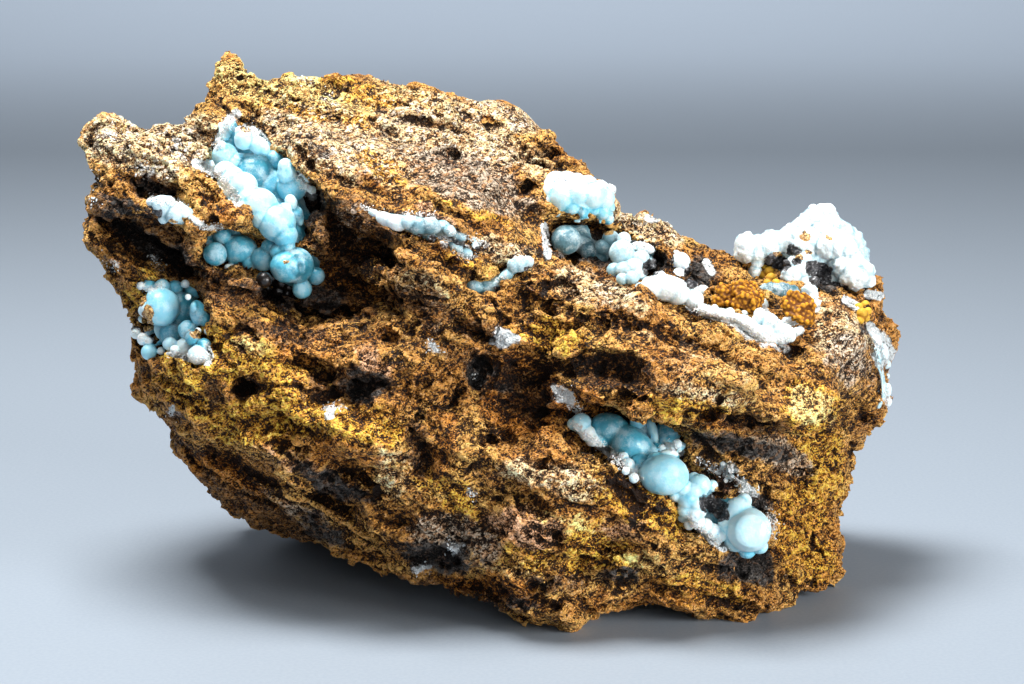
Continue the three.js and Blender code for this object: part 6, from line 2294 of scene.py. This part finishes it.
@dataclass
class Druse:
    """A sugary crust of small white grains along lines on the show face.

    Attributes:
        name: The piece's name.
        lines: Each line's places on the drawing.
        width: Half the width of the line, in units of the drawing.
        count: How many grains it has.
        size: Radii of the smallest and the largest grain.
        seed: Which scatter to use.
        cover: How thickly it covers what lies under it, from 0 to 1.
    """

    name: str
    lines: tuple[tuple[tuple[float, float], ...], ...]
    width: float = 4
    count: int = 500
    size: tuple[float, float] = (0.06 * MM, 0.16 * MM)
    seed: int = 1
    cover: float = 1

    def build(self, sight: Sight, finish: bpy.types.Material) -> bpy.types.Object:
        """Seats the grains on what the eye meets along the lines.

        Args:
            sight: What they can be seated on.
            finish: The grains' finish.

        Returns:
            The piece.
        """
        chance = np.random.default_rng(self.seed)
        spans = [(np.array(a), np.array(b)) for line in self.lines for a, b in zip(line, line[1:])]
        lengths = np.array([np.linalg.norm(b - a) for a, b in spans])
        places, turns = [], []
        for _ in range(self.count):
            a, b = spans[chance.choice(len(spans), p=lengths / lengths.sum())]
            u, v = a + (b - a) * chance.random() + chance.normal(size=2) * self.width * 0.6
            met = sight.meet(u, v)
            length = chance.uniform(*self.size)
            lean = chance.normal(size=3) * 0.8
            if met is None:
                continue
            axis = np.array(met[1]) + lean
            axis /= np.linalg.norm(axis)
            side = np.cross(axis, chance.normal(size=3))
            side /= np.linalg.norm(side)
            third = np.cross(axis, side)
            turns.append(np.stack([side * 0.6, third * 0.5, axis * 1.3], axis=1) * length)
            places.append(np.array(met[0]) + axis * length * 0.2)
        grain = unit_ball(1)
        made = mesh_from(self.name, *copies(grain, np.array(turns), np.array(places)))
        smooth_shaded(made)
        store(made, "tone", np.repeat(chance.uniform(0, 0.2, len(places)), len(grain[0])))
        return add_piece(self.name, made, Slot.WHITE, finish)


# ---- The studio ----


@dataclass(frozen=True)
class Studio:
    """A pale floor, soft light and the camera.

    Attributes:
        floor_radius: Where the floor begins to rise.
        rim_radius: Where it ends.
        rim_height: How high it rises there.
        floor_colours: The two colours that the floor is speckled with.
        sensor: Width of the camera's sensor in millimetres.
    """

    floor_radius: float = 0.9
    rim_radius: float = 1.7
    rim_height: float = 1.1
    floor_colours: tuple[Colour, Colour] = ((0.235, 0.275, 0.325), (0.25, 0.29, 0.34))
    sensor: float = 36

    def build(self) -> None:
        """Sets up the floor, the lights, the world and the camera."""
        self.floor()
        self.light("key", (-0.10, -0.03, 0.50), 0.22, 5.7, (1.0, 0.99, 0.97))
        self.light("side", (0.50, -0.40, 0.18), 0.26, 5.0, (1.0, 0.99, 0.97))
        self.light("front", (0.10, -0.72, 0.24), 0.4, 1.7, (1.0, 0.99, 0.98))
        self.light("backdrop", (0.0, 0.8, 0.9), 0.6, 22.0, (0.97, 0.98, 1.0), (0.0, 1.7, 0.6))
        self.world()
        self.camera()

    def floor(self) -> None:
        """Makes a floor that rises to a rim all round."""
        steps, sides = 24, 96
        rise = [k / steps for k in range(steps + 1)]
        profile = [(0.0, 0.0)]
        for share in rise:
            angle = share * math.pi / 2
            radius = self.floor_radius + (self.rim_radius - self.floor_radius) * math.sin(angle)
            profile.append((radius, self.rim_height * (1 - math.cos(angle))))
        points = [(0.0, 0.0, 0.0)]
        for radius, height in profile[1:]:
            for n in range(sides):
                angle = 2 * math.pi * n / sides
                points.append((radius * math.cos(angle), radius * math.sin(angle), height))
        faces = [(0, 1 + n, 1 + (n + 1) % sides) for n in range(sides)]
        for ring in range(len(profile) - 2):
            for n in range(sides):
                a, b = 1 + ring * sides + n, 1 + ring * sides + (n + 1) % sides
                faces += [(a, a + sides, b + sides), (a, b + sides, b)]
        mesh = mesh_from("floor", np.array(points), np.array(faces))
        smooth_shaded(mesh)
        made, web, shader = new_material("pale_floor")
        speck = web.noise(web.node("TexCoord").outputs["Object"], 0.5 * MM, 1, 0.5)
        colour = web.mix(web.range(speck, 0.3, 0.7), *self.floor_colours)
        web.feed(shader.inputs, {"Base Color": colour, "Roughness": 0.6})
        mesh.materials.append(made)
        placed("floor", mesh)

    def light(
        self, name: str, place: Colour, size: float, power: float, colour: Colour, aim: Colour = (0, 0, 0.03)
    ) -> None:
        """Adds a square soft light.

        Args:
            name: What to call it.
            place: Where it stands.
            size: Length of its sides.
            power: Its power in watts.
            colour: Its colour.
            aim: Where it points.
        """
        lamp = bpy.data.lights.new(name, "AREA")
        lamp.energy, lamp.size, lamp.color = power, size, colour
        holder = placed(name, lamp)
        holder.location = place
        holder.rotation_euler = (Vector(aim) - Vector(place)).to_track_quat("-Z", "Y").to_euler()

    def world(self) -> None:
        """Gives the world an even pale light."""
        world = bpy.data.worlds.new("studio")
        world.use_nodes = True
        background = world.node_tree.nodes["Background"]
        background.inputs["Color"].default_value = (0.88, 0.94, 1.0, 1)
        background.inputs["Strength"].default_value = 0.09
        bpy.context.scene.world = world
        bpy.context.scene.view_settings.view_transform = "Standard"

    def camera(self) -> None:
        """Puts the camera at the drawing's eye, with the drawing as its picture."""
        lens = bpy.data.cameras.new("camera")
        lens.sensor_width = self.sensor
        lens.lens = self.sensor * DRAWING.eye / (DRAWING.width * DRAWING.unit)
        lens.clip_start = 0.01
        holder = placed("camera", lens)
        holder.location = DRAWING.eye_place()
        towards = Vector(DRAWING.middle) - holder.location
        holder.rotation_euler = towards.to_track_quat("-Z", "Y").to_euler()
        bpy.context.scene.camera = holder


DRUSES = (
    Druse("druse_upper_pocket", (
        ((196, 163), (208, 168), (220, 176), (228, 188), (238, 202)),
        ((236, 114), (228, 122), (222, 134), (217, 146)), ((246, 128), (258, 134), (266, 144)),
        ((297, 176), (306, 186), (312, 196)),
    ), width=4.5, count=900, seed=1),
    Druse("druse_left_nook", (
        ((187, 212), (196, 222), (208, 228), (222, 227)), ((150, 198), (160, 202), (176, 201), (186, 208)),
    ), width=3.5, count=260, seed=2, cover=0.5),
    Druse("druse_left_head", (
        ((95, 175), (97, 183)), ((88, 196), (93, 206)), ((104, 262), (116, 268)), ((108, 134), (114, 138)),
        ((176, 140), (184, 150)), ((140, 168), (150, 172)), ((175, 150), (181, 158)),
        ((152, 252), (160, 268)),
    ), width=7, count=110, size=(0.10 * MM, 0.24 * MM), seed=3, cover=0.3),
    Druse("druse_lower_left", (
        ((134, 330), (142, 338), (150, 340)), ((140, 286), (150, 290), (162, 284)),
        ((170, 352), (196, 360), (208, 362)), ((206, 344), (210, 356)),
    ), width=3.5, count=420, seed=4),
    Druse("druse_front_pocket", (
        ((574, 424), (584, 432), (596, 442), (606, 450), (620, 458)),
        ((688, 518), (700, 528), (714, 540), (724, 548)), ((664, 442), (680, 452)),
        ((612, 458), (628, 468), (640, 478)),
    ), width=4, count=700, seed=5),
    Druse("druse_front_specks", (
        ((733, 478), (744, 486), (754, 492)), ((718, 468), (730, 474)),
        ((562, 388), (572, 404), (580, 412)), ((700, 462), (712, 470)), ((770, 512), (774, 536)),
    ), width=6, count=170, size=(0.10 * MM, 0.22 * MM), seed=11, cover=0.35),
    Druse("druse_seam", (
        ((362, 206), (374, 212), (386, 214)), ((448, 232), (470, 238), (488, 246)),
        ((452, 248), (464, 256), (476, 256)), ((494, 282), (504, 274)), ((514, 258), (530, 260)),
        ((404, 214), (436, 216)),
    ), width=3.5, count=260, seed=6, cover=0.35),
    Druse("druse_saddle", (
        ((548, 182), (556, 178), (572, 180)), ((600, 184), (614, 182), (618, 190)),
        ((544, 226), (546, 240), (548, 256)), ((632, 244), (642, 246), (652, 250)),
        ((706, 262), (712, 272)), ((648, 218), (656, 219)), ((664, 216), (672, 219)),
    ), width=3.5, count=600, seed=7),
    Druse("druse_crest", (
        ((690, 306), (706, 314), (726, 318), (744, 326), (762, 338), (784, 338), (800, 330)),
        ((758, 300), (764, 312), (772, 322)), ((786, 322), (796, 320)), ((812, 296), (816, 308)),
        ((868, 294), (880, 296)), ((870, 326), (880, 338)), ((846, 300), (856, 306)),
    ), width=4, count=1000, seed=8),
    Druse("druse_right_edge", (
        ((874, 336), (884, 352)), ((887, 388), (888, 402)),
    ), width=5, count=150, seed=9, cover=0.4),
    Druse("druse_face", (
        ((496, 334), (508, 338)), ((560, 394), (570, 398)), ((416, 568), (426, 570)),
        ((326, 412), (340, 408)), ((476, 378), (480, 384)), ((428, 344), (436, 350)),
        ((168, 408), (176, 412)), ((470, 492), (474, 498)), ((448, 544), (456, 550)),
        ((300, 78), (310, 82)), ((326, 98), (336, 100)),
    ), width=7, count=120, size=(0.10 * MM, 0.22 * MM), seed=10, cover=0.3),
)

CLUSTERS = (
    BeadCluster("limonite_cluster_left", "limonite_sponge_left", (-0.4, -0.8, -0.7), shrink=0.15, seed=3),
    BeadCluster("limonite_cluster_right", "limonite_sponge_right", (-0.2, -0.1, -0.5), shrink=1, seed=5),
)
LOOSE_BEADS = (
    Beads("limonite_beads_crest", (
        (764, 268, 4), (769, 271, 5), (764, 275, 5), (771, 278, 5.5), (776, 283, 4.5), (768, 283, 5),
        (773, 287, 4),
    )),
    Beads("limonite_beads_right", (
        (859, 307, 4.5), (865, 305, 5), (862, 313, 5.5), (868, 311, 4), (860, 320, 4.5), (866, 318, 4),
    )),
)
DARK_BEADS = (
    Beads("goethite_beads_pocket", (
        (264, 280, 8), (273, 278, 8), (281, 283, 9), (289, 287, 8), (268, 288, 6), (278, 291, 6),
        (287, 294, 5),
    )),
)


def main() -> None:
    """Builds the specimen and the studio round it."""
    logging.basicConfig(level=logging.INFO, format="%(message)s")
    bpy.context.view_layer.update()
    Studio().build()
    effects = Effects()
    design = Stone()
    stone = design.build(effects)
    plain_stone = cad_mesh(design.node)
    finishes = {
        Slot.BLUE: CrustFinish("blue_hemimorphite", frosting=0.35),
        Slot.PALE: CrustFinish("pale_hemimorphite", PALE_TONES, frosting=0.45, grit=0.08 * MM),
        Slot.WHITE: CrustFinish("white_hemimorphite", PALE_TONES, dust=0.35, creases=0.45, grit=0.16 * MM),
    }
    dressed = {slot: finish.material(effects) for slot, finish in finishes.items()}
    cyan = CrustFinish("cyan_hemimorphite", frosting=0.6).material(effects)
    grown = [
        crust.build(plain_stone, cyan if crust.look is Look.CYAN else dressed[crust.slot])
        for crust in CRUSTS
    ]
    amber = LimoniteFinish("amber_limonite").material(effects)
    yellow = LimoniteFinish("yellow_limonite", (0.30, 0.13, 0.01), (0.80, 0.50, 0.06)).material(effects)
    goethite = LimoniteFinish("black_goethite", (0.004, 0.003, 0.003), (0.014, 0.011, 0.01), 0.25, 0.5)
    black = goethite.material(effects)
    for cluster in CLUSTERS:
        cluster.build(amber)
    for beads in LOOSE_BEADS:
        beads.build(design.whole, yellow)
    for beads in DARK_BEADS:
        beads.build(design.whole, black)
    sight = Sight([design.whole] + [crust.data for crust in grown])
    sugar = CrustFinish("sugar_druse", SUGAR_TONES, frosting=0.3, dust=0.2).material(effects)
    for druse in DRUSES:
        druse.build(sight, sugar)


if __name__ == "__main__":
    main()
